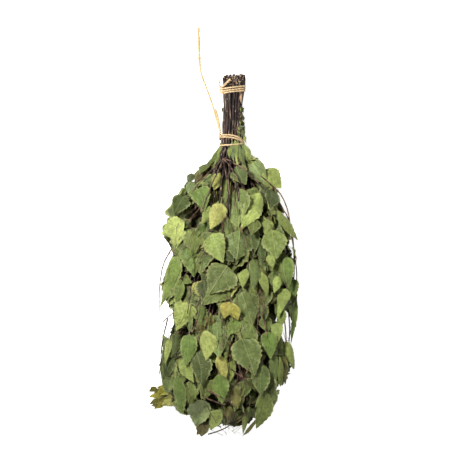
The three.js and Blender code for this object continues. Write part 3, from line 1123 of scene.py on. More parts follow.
# %% [markdown]
# ## Bending a leaf
# A dried leaf is never flat. It creases along its midrib, rolls from side to side, arches along its
# length, twists, and its edge ruffles. Each of these is one small formula on the flat leaf.

# %% Bending a leaf
BLADE_THICKNESS = 0.32 * MM
STRAIGHTEST = 1e-4  # added to every bend, because a bend of nothing would divide by nothing
dice = np.random.default_rng(20)


def raise_blade(shape, width, crease, ruffle, fold):
    """How far across, and how far up, the corners of a leaf lie before it is rolled and arched."""
    u, v = shape["plan"].T  # -1 to 1 from edge to edge, and 0 to 1 from base to tip
    across = u * width / 2 * (1 + dice.normal(0, 0.1) * np.sign(u))
    across += dice.normal(0, 0.05) * width * np.sin(np.pi * v)
    rise = crease * np.abs(across)
    phase = dice.uniform(0, 2 * np.pi, 4)
    edge_waves = np.sin(8 * v + 2 * np.sign(across) + phase[0])
    rise += ruffle * width * 0.05 * np.abs(u) ** 1.5 * edge_waves
    rise += width * 0.036 * np.sin(6 * u + 5 * v + phase[1]) * np.sin(9 * v + phase[2])
    rise += width * 0.02 * np.sin(11 * u - 9 * v + phase[3])
    # One corner of a dried leaf is often folded up or down along a straight line.
    fold_way = dice.uniform(0, 2 * np.pi)
    beyond_fold = u * np.cos(fold_way) + (2 * v - 1) * np.sin(fold_way) - dice.uniform(0.0, 0.5)
    rise += fold * width / 2 * np.maximum(beyond_fold, 0)
    rise += shape["side"] * BLADE_THICKNESS / 2 * (1 - 0.6 * np.abs(u))
    return across, rise


def bend_leaf(shape, length, width, crease=0.0, roll=0.0, arch=0.0, twist=0.0, ruffle=1.0, fold=0.0):
    """The corners of a bent leaf, with its base at the origin and its tip on +Y."""
    across, rise = raise_blade(shape, width, crease, ruffle, fold)
    along = shape["plan"][:, 1] * length
    rolled = roll / width + STRAIGHTEST
    x = np.sin(rolled * across) / rolled - rise * np.sin(rolled * across)
    z = (1 - np.cos(rolled * across)) / rolled + rise * np.cos(rolled * across)
    lean = twist * (shape["plan"][:, 1] - 0.4)
    x, z = x * np.cos(lean) - z * np.sin(lean), x * np.sin(lean) + z * np.cos(lean)
    arched = arch / length + STRAIGHTEST
    y = np.sin(arched * along) / arched - z * np.sin(arched * along)
    z = (1 - np.cos(arched * along)) / arched + z * np.cos(arched * along)
    # The arch has lifted the tip, so the leaf is tilted back and drawn out to its length again.
    tip_y, tip_z = math.sin(arched * length) / arched, (1 - math.cos(arched * length)) / arched
    chord = math.hypot(tip_y, tip_z)
    y, z = (y * tip_y + z * tip_z) / chord, (z * tip_y - y * tip_z) / chord
    return np.column_stack([x, y * length / chord, z])


print("a leaf blade is", round(BLADE_THICKNESS / MM, 2), "mm thick")

# %% [markdown]
# ## Placing a leaf
# A bent leaf is laid from its base to its tip, facing a given way. It then gets its tone and its stalk,
# and goes to the spray whose solid it lies in.

# %% Placing one leaf
STALK_RADIUS = 0.42 * MM
LOWEST_RIM = 0.0005
LOWEST_SIDES = 0.00012  # at the table, a blade's two sides lie this far above and below its rim
leaves_of = [[] for _ in spray_names]  # the leaves that each spray carries
twiglets_of = [[] for _ in spray_names]  # its side twigs and leaf stalks


def place_leaf(flat, base, tip, facing):
    """The corners of a bent leaf, laid from base to tip with its upper side towards facing."""
    ahead = unit(tip - base)
    normal = unit(facing - ahead * np.dot(facing, ahead))
    across = np.cross(ahead, normal)
    return base + flat[:, :1] * across + flat[:, 1:2] * ahead + flat[:, 2:] * normal


def keep_leaf(shape, corners, base, tip, facing, tone, painted_shade=1.0):
    """Gives a placed leaf its colour and its stalk, and hands both to the spray that it lies in."""
    corners[:, 2] = np.maximum(corners[:, 2], LOWEST_RIM + LOWEST_SIDES * shape["side"])
    # A deeper leaf's tone is darkened here by its painted shade.
    tint = np.array(TONES[tone][:3]) * painted_shade * dice.uniform(0.84, 1.16) * dice.uniform(0.97, 1.03, 3)
    browned = 0.35 if tone in ("brownish", "olive", "brown") else 0
    dryness = min(1.0, dice.gamma(1.2, 0.28) + browned)
    owner = owner_of(corners.mean(axis=0))
    leaves_of[owner].append((shape, corners, tint, dryness))
    length = np.linalg.norm(tip - base)
    ahead = (tip - base) / length
    stalk = length * dice.uniform(0.22, 0.34)
    droop = unit(facing - ahead * np.dot(facing, ahead)) * -0.45 * stalk
    spots = [
        base + 0.02 * length * ahead,
        base - 0.5 * stalk * ahead + 0.3 * droop,
        base - stalk * ahead + droop,
    ]
    twiglets_of[owner].append((spots, STALK_RADIUS, STALK_RADIUS * 0.8))


def put_leaf(shape, base, tip, facing, width, tone, **bends):
    """One leaf, bent and placed."""
    base, tip = np.array(base), np.array(tip)
    flat = bend_leaf(shape, np.linalg.norm(tip - base), width, **bends)
    corners = place_leaf(flat, base, tip, facing)
    keep_leaf(shape, corners, base, tip, facing, tone)


print("ready to place leaves in", len(leaves_of), "sprays")

# %% [markdown]
# A leaf that would cut through the ones above it sinks until it passes under them, so the upper ones
# are placed first and remembered.

# %% Sinking under the leaves above
SINK_GAP = 0.0008  # the space that is left under an upper leaf
uppermost = []  # the leaves that lie on top, as search trees with the rectangles that they cover


def remember_top(shape, corners):
    """Keeps a placed leaf, so that later ones can be laid under it."""
    faces = shape["faces"][: shape["upper"]]
    tree = BVHTree.FromPolygons([Vector(corner) for corner in corners], faces)
    uppermost.append((corners[:, :2].min(axis=0), corners[:, :2].max(axis=0), tree))


def sink_under(corners, most):
    """How far a leaf has to sink to pass under the ones that lie on top, at most so far."""
    low, high = corners[:, :2].min(axis=0), corners[:, :2].max(axis=0)
    need = 0.0
    for other_low, other_high, tree in uppermost:
        if (low < other_high).all() and (high > other_low).all():
            for x, y, z in corners:
                hit = tree.ray_cast(Vector((x, y, FROM_ABOVE)), Vector((0, 0, -1)))[0]
                if hit is not None:
                    need = max(need, z - hit.z + SINK_GAP)
    return min(need, most)


# %% [markdown]
# ## The leaves that show on top
# Some ninety-five leaves lie uppermost and give the whisk its face. Each is listed: where its
# base and tip lie, how wide it is, its tone, and how high it lies among its neighbours. The distances
# are millimetres: across from the whisk's middle line, and along from the cut ends.

# %% The top leaves
TOP_LEAVES = [
    # base x, station; tip x, station; width; tone; level
    (25, 185, 27, 248, 56, "dull", 2), (60, 191, 29, 249, 33, "pale", 3),
    (22, 152, 37, 179, 28, "dull", 2), (46, 143, 70, 176, 33, "grey", 1),
    (66, 155, 93, 184, 34, "light", 3), (79, 187, 75, 217, 25, "dark", 1),
    (-40, 185, -29, 221, 34, "green", 1), (-62, 198, -78, 229, 28, "dark", 0),
    (-82, 213, -76, 234, 26, "dark", 0), (-1, 209, -20, 250, 27, "brownish", 3),
    (-20, 213, -34, 242, 16, "light", 1), (-63, 238, -98, 258, 36, "pale", 3),
    (-66, 250, -75, 281, 26, "pale", 2), (-51, 250, -43, 288, 30, "mid", 2),
    (-17, 256, 1, 303, 39, "bright", 4), (-53, 277, -46, 326, 36, "green", 2),
    (27, 252, 22, 298, 47, "dull", 1), (41, 247, 48, 291, 26, "dark", 0),
    (78, 251, 85, 297, 40, "mid", 3), (74, 290, 79, 312, 14, "light", 3),
    (50, 232, 45, 259, 22, "mid", 1), (72, 234, 66, 258, 20, "light", 2),
    (86, 220, 119, 268, 18, "light", 2), (-71, 293, -101, 376, 27, "green", 2),
    (7, 308, -22, 352, 49, "dull", 2), (10, 343, -32, 370, 36, "mid", 1),
    (37, 312, 31, 343, 15, "light", 2), (48, 295, 48, 347, 20, "dull", 2),
    (60, 317, 71, 355, 15, "light", 2), (87, 324, 81, 351, 14, "light", 2),
    (102, 293, 104, 345, 17, "green", 1), (-67, 329, -73, 370, 17, "mid", 1),
    (113, 329, 110, 370, 16, "green", 1), (-48, 174, -56, 193, 16, "grey", 1),
    (6, 166, 4, 208, 18, "mid", -2), (14, 229, 6, 266, 18, "dull", 0),
    (-27, 146, -38, 162, 13, "mid", 0), (-50, 160, -55, 178, 15, "dark", 0),
    (-28, 156, -47, 178, 14, "brown", 0), (-5, 160, -15, 188, 19, "brownish", -3),
    (-13, 184, -16, 215, 14, "brownish", -3), (-56, 366, -74, 411, 36, "pale", 3),
    (12, 365, 2, 391, 20, "yellow", 4), (14, 366, 24, 394, 21, "yellow", 5),
    (30, 350, 47, 402, 44, "dull", 2), (-10, 396, -6, 453, 38, "dull", 2),
    (-28, 409, -27, 458, 28, "pale", 4), (-53, 416, -59, 467, 26, "green", 3),
    (30, 422, 50, 482, 46, "dull", 3), (68, 412, 76, 456, 25, "green", 3),
    (86, 398, 84, 437, 18, "light", 3), (101, 344, 87, 389, 20, "light", 3),
    (-84, 425, -92, 466, 12, "light", 3), (-74, 415, -82, 454, 16, "dark", 2),
    (-68, 456, -46, 493, 19, "bright", 3), (-44, 441, -33, 499, 35, "dark", 1),
    (-7, 448, 4, 491, 20, "brownish", 2), (14, 459, 6, 501, 15, "light", 2),
    (-7, 479, -1, 527, 27, "green", 3), (63, 464, 61, 514, 30, "dull", 3),
    (82, 449, 84, 507, 14, "dull", 1), (90, 452, 92, 502, 14, "mid", 1),
    (-94, 442, -97, 499, 16, "dark", 1), (-72, 482, -64, 547, 21, "green", 3),
    (-80, 484, -90, 512, 18, "dull", 2), (-33, 515, -43, 567, 35, "grey", 2),
    (-4, 537, -20, 572, 23, "light", 2), (11, 532, 6, 566, 18, "olive", 1),
    (68, 508, 53, 570, 29, "mid", 3), (42, 533, 32, 578, 18, "mid", 2),
    (57, 550, 29, 583, 12, "olive", 1), (-25, 560, -35, 583, 20, "brown", 1),
    (-30, 564, -43, 580, 13, "dark", 1), (100, 428, 113, 473, 17, "light", 1),
    (117, 360, 108, 433, 11, "green", 1), (94, 455, 100, 499, 17, "olive", 1),
    (-78, 452, -90, 488, 20, "dark", 1), (-15, 388, -44, 414, 22, "olive", 1),
    (22, 393, 9, 417, 20, "green", 1), (46, 400, 31, 440, 27, "mid", 3),
    (60, 370, 66, 396, 17, "dull", 1), (67, 386, 72, 414, 20, "mid", 1),
    (92, 300, 98, 336, 20, "mid", 0), (58, 270, 62, 306, 20, "dark", 0),
    (-86, 240, -92, 262, 20, "mid", 0), (-30, 330, -22, 368, 26, "dark", 0),
    (72, 342, 62, 378, 24, "mid", 1), (90, 372, 89, 410, 15, "mid", 1),
    (-40, 372, -28, 404, 22, "green", 0), (42, 486, 28, 522, 22, "mid", 0),
    (18, 502, 24, 536, 20, "olive", 1), (72, 476, 74, 522, 22, "dull", 1),
    (-18, 488, -30, 522, 24, "mid", 1), (-52, 490, -50, 532, 22, "mid", 1),
    (80, 500, 70, 546, 18, "dull", 2),
]
print(len(TOP_LEAVES), "top leaves listed")

# %% [markdown]
# The highest leaves are placed first. A leaf's base lies lower than its tip, because the leaf comes up
# from a twig inside the bundle. The uppermost leaves were pressed flat when the whisk was packed.

# %% Placing the top leaves
LEVEL_STEP = 1.5 * MM
TOP_SINK = 2.0 * MM  # the top leaves lie this far inside the surface, which touches the highest of them
BASE_SINK = 3.5 * MM
BEND_ROOM = 4 * MM  # a bent leaf rises above its base and tip by about this
LOWEST_END = 0.004
MOST_SINK = 0.012
SHAPE_SHARE = [0.6, 0.2, 0.2]  # of rhombs, ovate leaves and deltas

for row in sorted(TOP_LEAVES, key=lambda row: -row[-1]):
    base_x, base_station, tip_x, tip_station, width, tone, level = row
    ends = []
    for x, station, sink in ((base_x, base_station, BASE_SINK), (tip_x, tip_station, 0.0)):
        height, slope = crown(x * MM, BUTT_Y - station * MM)
        height += level * LEVEL_STEP - TOP_SINK - sink - BEND_ROOM
        ends.append(np.array([x * MM, BUTT_Y - station * MM, max(height, LOWEST_END)]))
    spread = 0.5 if level >= 3 else 1.0
    facing = 0.35 * slope + np.array([0, 0, 0.65]) + dice.normal(0, 0.12, 3) * spread
    shape = dice.choice(FINE_LEAVES, p=SHAPE_SHARE)
    flat = bend_leaf(
        shape, np.linalg.norm(ends[1] - ends[0]), width * MM,
        crease=dice.normal(0.0, 0.26) * spread,
        roll=dice.normal(-0.25, 0.4) * spread,
        arch=dice.normal(-0.3, 0.3) * spread,
        twist=dice.normal(0, 0.22) * spread,
        ruffle=dice.uniform(0.9, 2.2),
        fold=dice.normal(-0.15, 0.4) * spread,
    )
    sink = np.array([0, 0, sink_under(place_leaf(flat, *ends, facing), MOST_SINK)])
    corners = place_leaf(flat, ends[0] - sink, ends[1] - sink, facing)
    keep_leaf(shape, corners, ends[0] - sink, ends[1] - sink, facing, tone)
    remember_top(shape, corners)
print(len(TOP_LEAVES), "top leaves placed")

# %% [markdown]
# ## The leaves all round
# Under, beside and below the top ones, leaves overlap like shingles: rows across the whisk, each leaf
# turned at random, its tip lying over the base of the next. Deeper rows fill what shows between them.
# Where the whisk is open, and where its main stem shows, no leaf is placed.

# %% Where no leaf is placed
OPENINGS = [
    # x, station, half width, half length, in millimetres
    (-3, 165, 5, 46), (10, 150, 9, 15), (-14, 152, 8, 7), (57, 172, 4, 3), (36, 181, 12, 3),
    (92, 204, 4, 8), (74, 223, 14, 7), (-48, 222, 12, 7), (-38, 240, 12, 9), (8, 216, 4, 8),
    (55, 282, 4, 4), (-8, 304, 7, 4), (13, 312, 6, 4), (31, 308, 5, 4), (-68, 323, 6, 6),
    (106, 285, 4, 12), (-42, 326, 7, 6), (-57, 353, 6, 13), (-41, 379, 5, 11), (-15, 375, 7, 8),
    (6, 396, 4, 5), (58, 403, 6, 12), (97, 345, 7, 4), (77, 377, 4, 8), (-60, 417, 9, 8),
    (-86, 408, 8, 12), (14, 441, 4, 10), (-54, 473, 4, 8), (-20, 471, 8, 5), (32, 477, 15, 14),
    (74, 461, 9, 9), (-22, 520, 9, 9), (2, 534, 13, 8), (44, 515, 10, 9), (25, 546, 7, 6),
    (-28, 556, 4, 9), (47, 551, 4, 8), (-4, 330, 8, 5),
]
OPEN_DEPTH = 0.03  # leaves this deep may close an opening from below
EDGE_GAPS = [
    # the same, where the table shows past the edge
    (-95, 292, 13, 20), (-95, 394, 14, 24), (100, 405, 5, 24), (117, 322, 4, 12), (6, 581, 22, 13),
    (-107, 528, 20, 34), (-96, 566, 22, 22), (-114, 474, 7, 12),
]


def touches(corners, ellipses):
    """Whether a leaf, seen from above, reaches into one of the given ellipses."""
    x, station = corners[:, 0] / MM, (BUTT_Y - corners[:, 1]) / MM
    return any(
        (((x - at_x) / half_x) ** 2 + ((station - at_station) / half_station) ** 2 < 1).any()
        for at_x, at_station, half_x, half_station in ellipses
    )


def covers_opening(corners, depth):
    """Whether a leaf, seen from above, would cover a part of an opening."""
    if touches(corners, EDGE_GAPS):
        return True
    if depth > OPEN_DEPTH or corners[:, 2].mean() < axis_at(corners[0, 1])[1]:
        return False
    return touches(corners, OPENINGS)


print(len(OPENINGS), "openings and", len(EDGE_GAPS), "gaps at the edge")

# %% [markdown]
# A shingle lies with its middle at a place of the leaves' surface and leans out a little towards its
# tip. One that reaches too far beyond the surface is pushed back in and towards the handle.

# %% Laying one shingle
OVERHANG = 0.003  # how far a leaf may reach beyond the surface
LENGTHS = (0.038, 0.007)  # the mean and the spread
SHORTEST, LONGEST = 0.022, 0.052
SHORT_BEFORE, SHORT_AFTER = 0.19, 0.55  # near the neck and the far end leaves are shorter
PAINTED_SHADE_DEPTH = 0.01  # leaves that lie deeper than this get painted shade: their colour is darkened


def overhang(corners):
    """How far a leaf reaches beyond the leaves' surface."""
    worst = 0.0
    for x, y, z in corners[::3]:
        middle = axis_at(y)
        angle = math.atan2(z - middle[1], x - middle[0])
        worst = max(worst, math.hypot(x - middle[0], z - middle[1]) - reach_at(BUTT_Y - y, angle))
    return worst


def shingle(station, angle, depth, size):
    """One leaf with its middle at a place of the surface. Says whether there was room for it."""
    outward, down, across = shell_frame(station, angle)
    turn = dice.normal(0, 0.75)
    ahead = unit(down * math.cos(turn) + across * math.sin(turn))
    length = size * float(np.clip(dice.normal(*LENGTHS), SHORTEST, LONGEST))
    width = length * dice.uniform(0.68, 0.9)
    if station > SHORT_AFTER or station < SHORT_BEFORE:
        length *= 0.75
    middle = on_shell(station, angle, depth)
    lift = dice.uniform(0.02, 0.3)
    base = middle - ahead * length / 2 - outward * lift * length / 2
    tip = middle + ahead * length / 2 + outward * lift * length / 2
    facing = outward + dice.normal(0, 0.34) * across + dice.normal(0, 0.2) * down
    shape = PLAIN_LEAVES[int(dice.integers(3))]
    flat = bend_leaf(
        shape, length, width,
        crease=dice.normal(0.0, 0.26),
        roll=dice.normal(-0.45, 0.6),
        arch=dice.normal(-0.45, 0.45),
        twist=dice.normal(0, 0.35),
        ruffle=dice.uniform(0.6, 2.2),
        fold=dice.normal(-0.1, 0.5),
    )
    corners = place_leaf(flat, base, tip, facing)
    excess = overhang(corners)
    if excess > OVERHANG:
        shift = outward * (OVERHANG - excess) - down * 0.4 * (excess - OVERHANG)
        base, tip = base + shift, tip + shift
        corners = place_leaf(flat, base, tip, facing)
    sink = np.array([0, 0, sink_under(corners, 2 * MOST_SINK)])
    base, tip, corners = base - sink, tip - sink, corners - sink
    if covers_opening(corners, depth):
        return False
    # Painted shade: the deeper a shingle lies, the darker its tone is made, so that the gaps between leaves
    # look shaded.
    painted_shade = 1.0 - 20.0 * max(0.0, depth - PAINTED_SHADE_DEPTH)
    tone = dice.choice(COMMON_TONES, p=COMMON_SHARE)
    keep_leaf(shape, corners, base, tip, facing, tone, max(painted_shade, 0.35))
    return True


print("shingles are", round(SHORTEST / MM), "to", round(LONGEST / MM), "mm long")

# %% [markdown]
# The rows run round the whisk from the neck to the far end, in three layers. Where the surface faces
# up, the listed top leaves already make the top layer, so all layers start deeper there.

# %% Laying the rows
ROW_STEP = 0.0155
FIRST_ROW, LAST_ROW = 0.146, 0.575
LAST_STATION = 0.578
LEAF_SPACING = 0.023
FEWEST_AROUND = 6
LEAF_TRIES = (1.0, 0.85, 0.65, 0.5)  # a leaf with no room is tried again, smaller
LAYERS = ((0.004, 1.0), (0.013, 1.15), (0.025, 1.6))  # depth, and how many times the spacing
UNDER_TOP = 0.004  # how much deeper a layer starts under the top leaves
CORE_ROOM = 0.012  # no leaf's middle is laid closer than this to the middle line


def girth(station):
    """The length round the leaves at a station."""
    ring = np.array([on_shell(station, angle) for angle in ANGLES])
    return np.linalg.norm(ring - np.roll(ring, 1, axis=0), axis=1).sum()


for layer_depth, thinning in LAYERS:
    for station in np.arange(FIRST_ROW, LAST_ROW, ROW_STEP):
        around = max(FEWEST_AROUND, round(girth(station) / (LEAF_SPACING * thinning)))
        start = dice.uniform(0, 2 * np.pi)
        for k in range(around):
            angle = start + 2 * np.pi * (k + dice.uniform(-0.3, 0.3)) / around
            spot = min(LAST_STATION, station + dice.uniform(-0.5, 0.5) * ROW_STEP)
            faces_up = math.sin(angle) > 0.25
            depth = layer_depth + (UNDER_TOP if faces_up else 0.0) + dice.uniform(-0.0015, 0.0015)
            if depth < reach_at(spot, angle) - CORE_ROOM:
                for size in LEAF_TRIES:
                    if shingle(spot, angle + dice.normal(0, 0.04), depth, size):
                        break
print(sum(len(group) for group in leaves_of), "leaves in all")

# %% [markdown]
# ## Small leaves
# At the neck, narrow leaves are drawn in under the twine, so there they lie close to the twigs. A few
# crumpled bits cling to the handle, and stand off it further. The rows give base and tip, width and
# tone, as for the top leaves.

# %% Neck leaves and bits on the handle
NECK_LEAVES = [
    (-3, 108, -13, 146, 9, "light"), (-5, 116, -26, 152, 9, "mid"), (11, 118, 10, 137, 6, "light"),
    (15, 108, 17, 143, 8, "grey"), (19, 106, 24, 154, 8, "light"), (24, 108, 33, 150, 11, "grey"),
    (28, 106, 42, 144, 13, "grey"), (30, 108, 50, 148, 13, "light"), (27, 118, 36, 160, 11, "mid"),
    (-6, 128, -20, 158, 8, "green"), (33, 124, 58, 150, 12, "mid"),
]
HANDLE_BITS = [
    (31, 54, 33, 63, 7, "dark"), (28, 61, 31, 70, 6, "brown"), (32, 66, 34, 76, 6, "dark"),
    (28, 72, 31, 80, 6, "brown"), (32, 76, 35, 86, 7, "dark"), (27, 83, 30, 90, 5, "grey"),
    (33, 85, 35, 94, 8, "dark"), (24, 86, 27, 92, 3, "pale"), (31, 91, 35, 104, 8, "grey"),
    (25, 95, 28, 106, 5, "dull"), (34, 97, 38, 112, 8, "light"), (-2, 54, -1, 62, 5, "dark"),
    (29, 33, 29.5, 49, 5, "peeled"), (21, 104, 25, 118, 6, "light"), (26, 102, 30, 118, 7, "grey"),
    (28, 54, 29, 62, 3, "pale"), (22, 92, 29, 97, 3, "pale"), (26, 76, 28, 82, 3, "pale"),
]

NECK_STARTS, NECK_ENDS = 100, 120  # stations, in millimetres
HANDLE_STAND_OFF, NECK_STAND_OFF, PAST_NECK_STAND_OFF = 2.6, 0.7, 1.6  # in millimetres
ROUND_RADIUS = 0.024  # past the neck the small leaves curve no wider than this

for base_x, base_station, tip_x, tip_station, width, tone in NECK_LEAVES + HANDLE_BITS:
    ends = []
    for x, station in ((base_x, base_station), (tip_x, tip_station)):
        y = BUTT_Y - station * MM
        middle_x, middle_z = axis_at(y)
        stand_off = PAST_NECK_STAND_OFF
        if station < NECK_ENDS:
            stand_off = NECK_STAND_OFF
        if station < NECK_STARTS:
            stand_off = HANDLE_STAND_OFF
        radius = handle_radius(y) + stand_off * MM
        sideways = (x * MM - middle_x) / radius
        height = middle_z + min(radius, ROUND_RADIUS) * math.sqrt(max(0.04, 1 - sideways**2))
        ends.append(np.array([x * MM, y, height]))
    out_dir = np.array([(ends[0][0] - axis_at(ends[0][1])[0]) / 0.02, 0, 1.0])
    put_leaf(
        FINE_LEAVES[0], ends[0], ends[1], out_dir, width * MM, tone,
        crease=dice.normal(-0.3, 0.3),
        roll=dice.normal(-0.8, 0.4),
        twist=dice.normal(0, 0.4),
        ruffle=3.0,
    )
print(len(NECK_LEAVES), "neck leaves,", len(HANDLE_BITS), "bits on the handle")

# %% [markdown]
# ## Stray leaves
# A few crumpled, yellowish leaves stray at one side of the far end. A crumpled leaf is hard to bend by
# formula, so several strongly ruffled ones stand for it.

# %% Stray leaves
STRAY_LEAVES = [
    (-87, 505, -111, 513, 17, "mustard"), (-93, 511, -119, 520, 16, "mustard"),
    (-78, 517, -108, 521, 20, "olive"), (-88, 525, -116, 535, 15, "moss"),
    (-76, 522, -99, 532, 17, "brownish"), (-80, 512, -96, 518, 14, "moss"),
    (-106, 505, -120, 511, 9, "moss"), (-103, 523, -118, 531, 9, "moss"),
    (-98, 528, -111, 539, 10, "mustard"), (-92, 503, -106, 504, 9, "mustard"),
]
STRAY_BASE_HEIGHT = 0.034

for base_x, base_station, tip_x, tip_station, width, tone in STRAY_LEAVES:
    base = (base_x * MM, BUTT_Y - base_station * MM, STRAY_BASE_HEIGHT)
    tip = (tip_x * MM, BUTT_Y - tip_station * MM, dice.uniform(0.026, 0.036))
    put_leaf(
        FINE_LEAVES[1], base, tip, np.array([0.1, 0.2, 1]), width * MM, tone,
        crease=-0.2,
        roll=dice.uniform(-0.9, 1.2),
        arch=-0.3,
        twist=dice.normal(0, 0.5),
        ruffle=5.0,
        fold=0.5,
    )
print(len(STRAY_LEAVES), "stray leaves")

# %% [markdown]
# ## Side twigs
# Thin reddish side twigs carry the leaves, show where the whisk is open, and stand out at its edges.
# Those that show are listed. The others start deep in the bundle and come up to the leaves'
# surface as they run along it.

# %% Side twigs
SIDE_TWIGS = 230
SIDE_TWIG_POINTS = 7
LOWEST_TWIG = 0.0012
EDGE_TWIGS = [
    # Points of thin twigs that show: x, station and height, in millimetres.
    [(60, 165, 70), (99, 203, 62), (112, 262, 60), (119, 330, 52), (118, 408, 46)],
    [(70, 190, 62), (104, 232, 60), (114, 300, 56), (113, 372, 58)],
    [(-70, 262, 66), (-92, 296, 60), (-101, 330, 55), (-103, 380, 50)],
    [(-66, 372, 84), (-80, 384, 82), (-96, 398, 78)],
    [(-88, 392, 70), (-97, 432, 62), (-101, 480, 50)],
    [(-24, 580, 26), (-8, 576, 30), (8, 569, 34), (22, 555, 42)],
    [(96, 380, 70), (101, 430, 62), (99, 480, 52)],
    [(104, 372, 66), (107, 420, 60), (101, 470, 54)],
    [(0, 138, 60), (-14, 152, 68), (-34, 172, 76), (-52, 196, 82)],
    [(0, 140, 61), (-8, 158, 72), (-22, 190, 84), (-34, 222, 92)],
    [(1, 137, 60), (12, 150, 70), (24, 168, 80), (40, 196, 88)],
    [(2, 136, 60), (18, 146, 70), (40, 160, 80), (66, 186, 86)],
    [(1, 142, 62), (7, 165, 74), (14, 196, 86)],
    [(22, 455, 100), (28, 478, 96), (40, 500, 88)],
    [(12, 470, 99), (30, 484, 95), (46, 488, 92)],
    [(44, 460, 98), (36, 480, 95), (22, 498, 90)],
    [(-26, 504, 92), (-6, 516, 88), (16, 528, 80)],
    [(4, 528, 84), (-16, 522, 88), (-32, 512, 92)],
    [(-50, 340, 108), (-52, 360, 106), (-56, 384, 102)],
    [(-36, 360, 112), (-38, 385, 110), (-48, 412, 104)],
    [(62, 380, 104), (68, 410, 100), (72, 440, 95)],
]


def put_twiglet(spots, thick, thin):
    """A side twig, kept with the spray that its middle lies in."""
    spots = np.array(spots)
    twiglets_of[owner_of(spots[len(spots) // 2])].append((spots, thick, thin))


for route in EDGE_TWIGS:
    spots = []
    for x, y, z in beside_twigs(route):
        highest = crown(x, y)[0] - 1.5 * MM
        spots.append((x, y, min(z, highest) if y < 0.12 else z))
    even, _ = smooth_path(spots, 0.012)
    wander = np.cumsum(dice.normal(0, 0.35 * MM, even.shape), axis=0)
    put_twiglet(even + wander, dice.uniform(1.0, 1.2) * MM, 0.75 * MM)
for _ in range(SIDE_TWIGS):
    station, angle = dice.uniform(0.15, 0.5), dice.uniform(0, 2 * np.pi)
    reach = dice.uniform(0.045, 0.1)
    swing = dice.normal(0, 0.25)
    spots = []
    for share in np.linspace(0, 1, SIDE_TWIG_POINTS):
        along = min(station + reach * share, LAST_STATION)
        depth = 0.03 * (1 - share) ** 1.4 + 0.007
        spots.append(on_shell(along, angle + swing * share, min(depth, reach_at(along, angle) * 0.7)))
    wander = np.cumsum(dice.normal(0, 0.5 * MM, (SIDE_TWIG_POINTS, 3)), axis=0)
    spots = np.array(spots) + wander
    spots[:, 2] = np.maximum(spots[:, 2], LOWEST_TWIG)
    put_twiglet(spots, dice.uniform(0.5, 0.85) * MM, 0.3 * MM)
print(sum(len(group) for group in twiglets_of), "side twigs and stalks")

# %% [markdown]
# ## Joining each spray
# The leaves, stalks and side twigs of one spray become one mesh that stands for its CAD node. Each
# leaf's two sides get cells of their own in the spray's bake map, so that no two faces share a place.
# A stalk or side twig needs only a strip, so several share a cell.

# %% Side twigs and stalks as thin tubes
TWIGLET_SIDES = 4
LOWEST_TUBE = 0.0003


def tube_part(spots, thick, thin):
    """A thin tube with closed ends: corners, faces, and each face corner's place in a strip."""
    ahead, across, up = path_frames(spots)
    turn = np.linspace(0, 2 * np.pi, TWIGLET_SIDES, endpoint=False)
    radius = np.linspace(thick, thin, len(spots))
    corners = np.vstack([
        spot + r * (np.cos(turn)[:, None] * side + np.sin(turn)[:, None] * rise)
        for spot, r, side, rise in zip(spots, radius, across, up)
    ])
    corners[:, 2] = np.maximum(corners[:, 2], LOWEST_TUBE)
    faces, places = [], []
    last = len(spots) - 1
    for i in range(last):
        for k in range(TWIGLET_SIDES):
            a, b = i * TWIGLET_SIDES + k, i * TWIGLET_SIDES + (k + 1) % TWIGLET_SIDES
            faces.append((a, b, b + TWIGLET_SIDES, a + TWIGLET_SIDES))
            low, high = 0.05 + 0.9 * i / last, 0.05 + 0.9 * (i + 1) / last
            places += [(k / 4, low), ((k + 1) / 4, low), ((k + 1) / 4, high), (k / 4, high)]
    first_ring = tuple(range(TWIGLET_SIDES))
    faces.append(first_ring[::-1])
    faces.append(tuple(last * TWIGLET_SIDES + k for k in first_ring))
    places += [(0, 0), (0.2, 0), (0.2, 0.04), (0, 0.04)]
    places += [(0, 0.96), (0.2, 0.96), (0.2, 1), (0, 1)]
    return corners, faces, places


print("a tube has", TWIGLET_SIDES, "sides")

# %% [markdown]
# The parts of a spray are gathered in lists: corners, faces, finishes, and what the leaf's material
# reads from them. One mesh is made of the lists at the end, which is much faster than joining objects.

# %% One mesh from the lists
SMOOTH_ANGLE = math.radians(60)


def spray_mesh(name, corners, faces, finish, maps, tints, values):
    """One piece from the gathered lists, with what the leaf's material reads stored on it."""
    mesh = bpy.data.meshes.new(name + "_leaves")
    mesh.from_pydata(np.vstack(corners).tolist(), [], faces)
    for label, uv in maps.items():
        layer = mesh.uv_layers.new(name=label)
        layer.data.foreach_set("uv", np.vstack(uv).astype(np.float32).ravel())
    tint_layer = mesh.attributes.new("leaf_tint", "FLOAT_COLOR", "POINT")
    tint_layer.data.foreach_set("color", np.vstack(tints).astype(np.float32).ravel())
    for label, numbers, domain in values:
        layer = mesh.attributes.new(label, "FLOAT", domain)
        layer.data.foreach_set("value", numbers.astype(np.float32))
    mesh.materials.append(leaf_skin)
    mesh.materials.append(twiglet_skin)
    mesh.polygons.foreach_set("material_index", finish)
    piece = bpy.data.objects.new(name + "_leaves", mesh)
    bpy.context.scene.collection.objects.link(piece)
    deselect()
    piece.select_set(True)
    bpy.context.view_layer.objects.active = piece
    bpy.ops.object.shade_smooth_by_angle(angle=SMOOTH_ANGLE)
    return piece


# %% [markdown]
# The bake map is a square of cells. Leaf number i has cells 2i and 2i + 1, and the strips of the stalks
# and side twigs come after the last leaf.

# %% Building the sprays
CELL_MARGIN = 0.06
STRIPS_PER_CELL = 8
WIDEST_PLAN = 2.3  # a leaf's plan is two wide, and its teeth reach past that


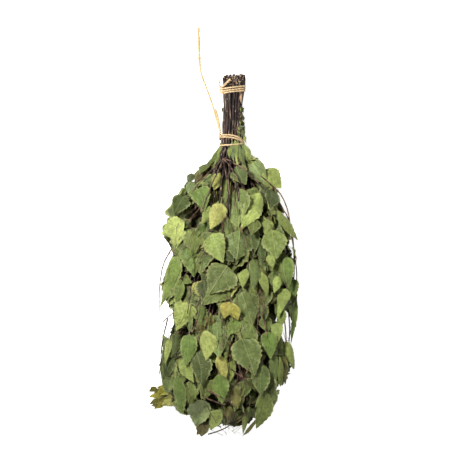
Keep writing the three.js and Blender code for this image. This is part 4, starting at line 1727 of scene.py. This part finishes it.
def build_spray(owner, name):
    """One mesh of all that a spray carries."""
    leaves, tubes = leaves_of[owner], twiglets_of[owner]
    cells = 2 * len(leaves) + math.ceil(len(tubes) / STRIPS_PER_CELL)
    per_side = math.ceil(math.sqrt(cells))

    def cell_place(index, place):
        """A place 0..1 in a cell, as a place of the whole map."""
        column, row = index % per_side, index // per_side
        inner = CELL_MARGIN + (1 - 2 * CELL_MARGIN) * place
        return (inner + np.array([column, row])) / per_side

    corners, faces, finish, plan_uv, bake_uv = [], [], [], [], []
    tints, rims, dryness, underside = [], [], [], []
    count = 0
    for i, (shape, spots, tint, dry) in enumerate(leaves):
        corners.append(spots)
        faces += [tuple(count + c for c in face) for face in shape["faces"]]
        finish += [0] * len(shape["faces"])
        place = np.column_stack([shape["plan"][:, 0] / WIDEST_PLAN + 0.5, shape["plan"][:, 1]])
        for j, face in enumerate(shape["faces"]):
            below = j >= shape["upper"]
            plan_uv.append(place[list(face)])
            bake_uv.append(cell_place(2 * i + below, place[list(face)]))
            underside.append(float(below))
        tints.append(np.tile([*tint, 1.0], (len(spots), 1)))
        rims.append(shape["side"] == 0)
        dryness.append(np.full(len(spots), dry))
        count += len(spots)
    for i, (spots, thick, thin) in enumerate(tubes):
        tube_corners, tube_faces, places = tube_part(np.array(spots), thick, thin)
        corners.append(tube_corners)
        faces += [tuple(count + c for c in face) for face in tube_faces]
        finish += [1] * len(tube_faces)
        places = np.array(places)
        plan_uv.append(places)
        strip_x = (i % STRIPS_PER_CELL + 0.1 + 0.8 * places[:, 0]) / STRIPS_PER_CELL
        strip = np.column_stack([strip_x, places[:, 1]])
        bake_uv.append(cell_place(2 * len(leaves) + i // STRIPS_PER_CELL, strip))
        underside += [0.0] * len(tube_faces)
        tints.append(np.tile([*TONES["brown"][:3], 1.0], (len(tube_corners), 1)))
        rims.append(np.zeros(len(tube_corners), bool))
        dryness.append(np.zeros(len(tube_corners)))
        count += len(tube_corners)

    maps = {"leaf_plan": plan_uv, "OFBake": bake_uv}
    values = (
        ("rim", np.concatenate(rims), "POINT"),
        ("dryness", np.concatenate(dryness), "POINT"),
        ("underside", np.array(underside), "FACE"),
    )
    piece = spray_mesh(name, corners, faces, finish, maps, tints, values)
    finish_piece(piece, "leaf", name)
    return piece


sprays = [build_spray(owner, name) for owner, name in enumerate(spray_names)]
face_counts = [len(spray.data.polygons) for spray in sprays]
print("largest spray:", max(face_counts), "faces; all sprays:", sum(face_counts), "faces")
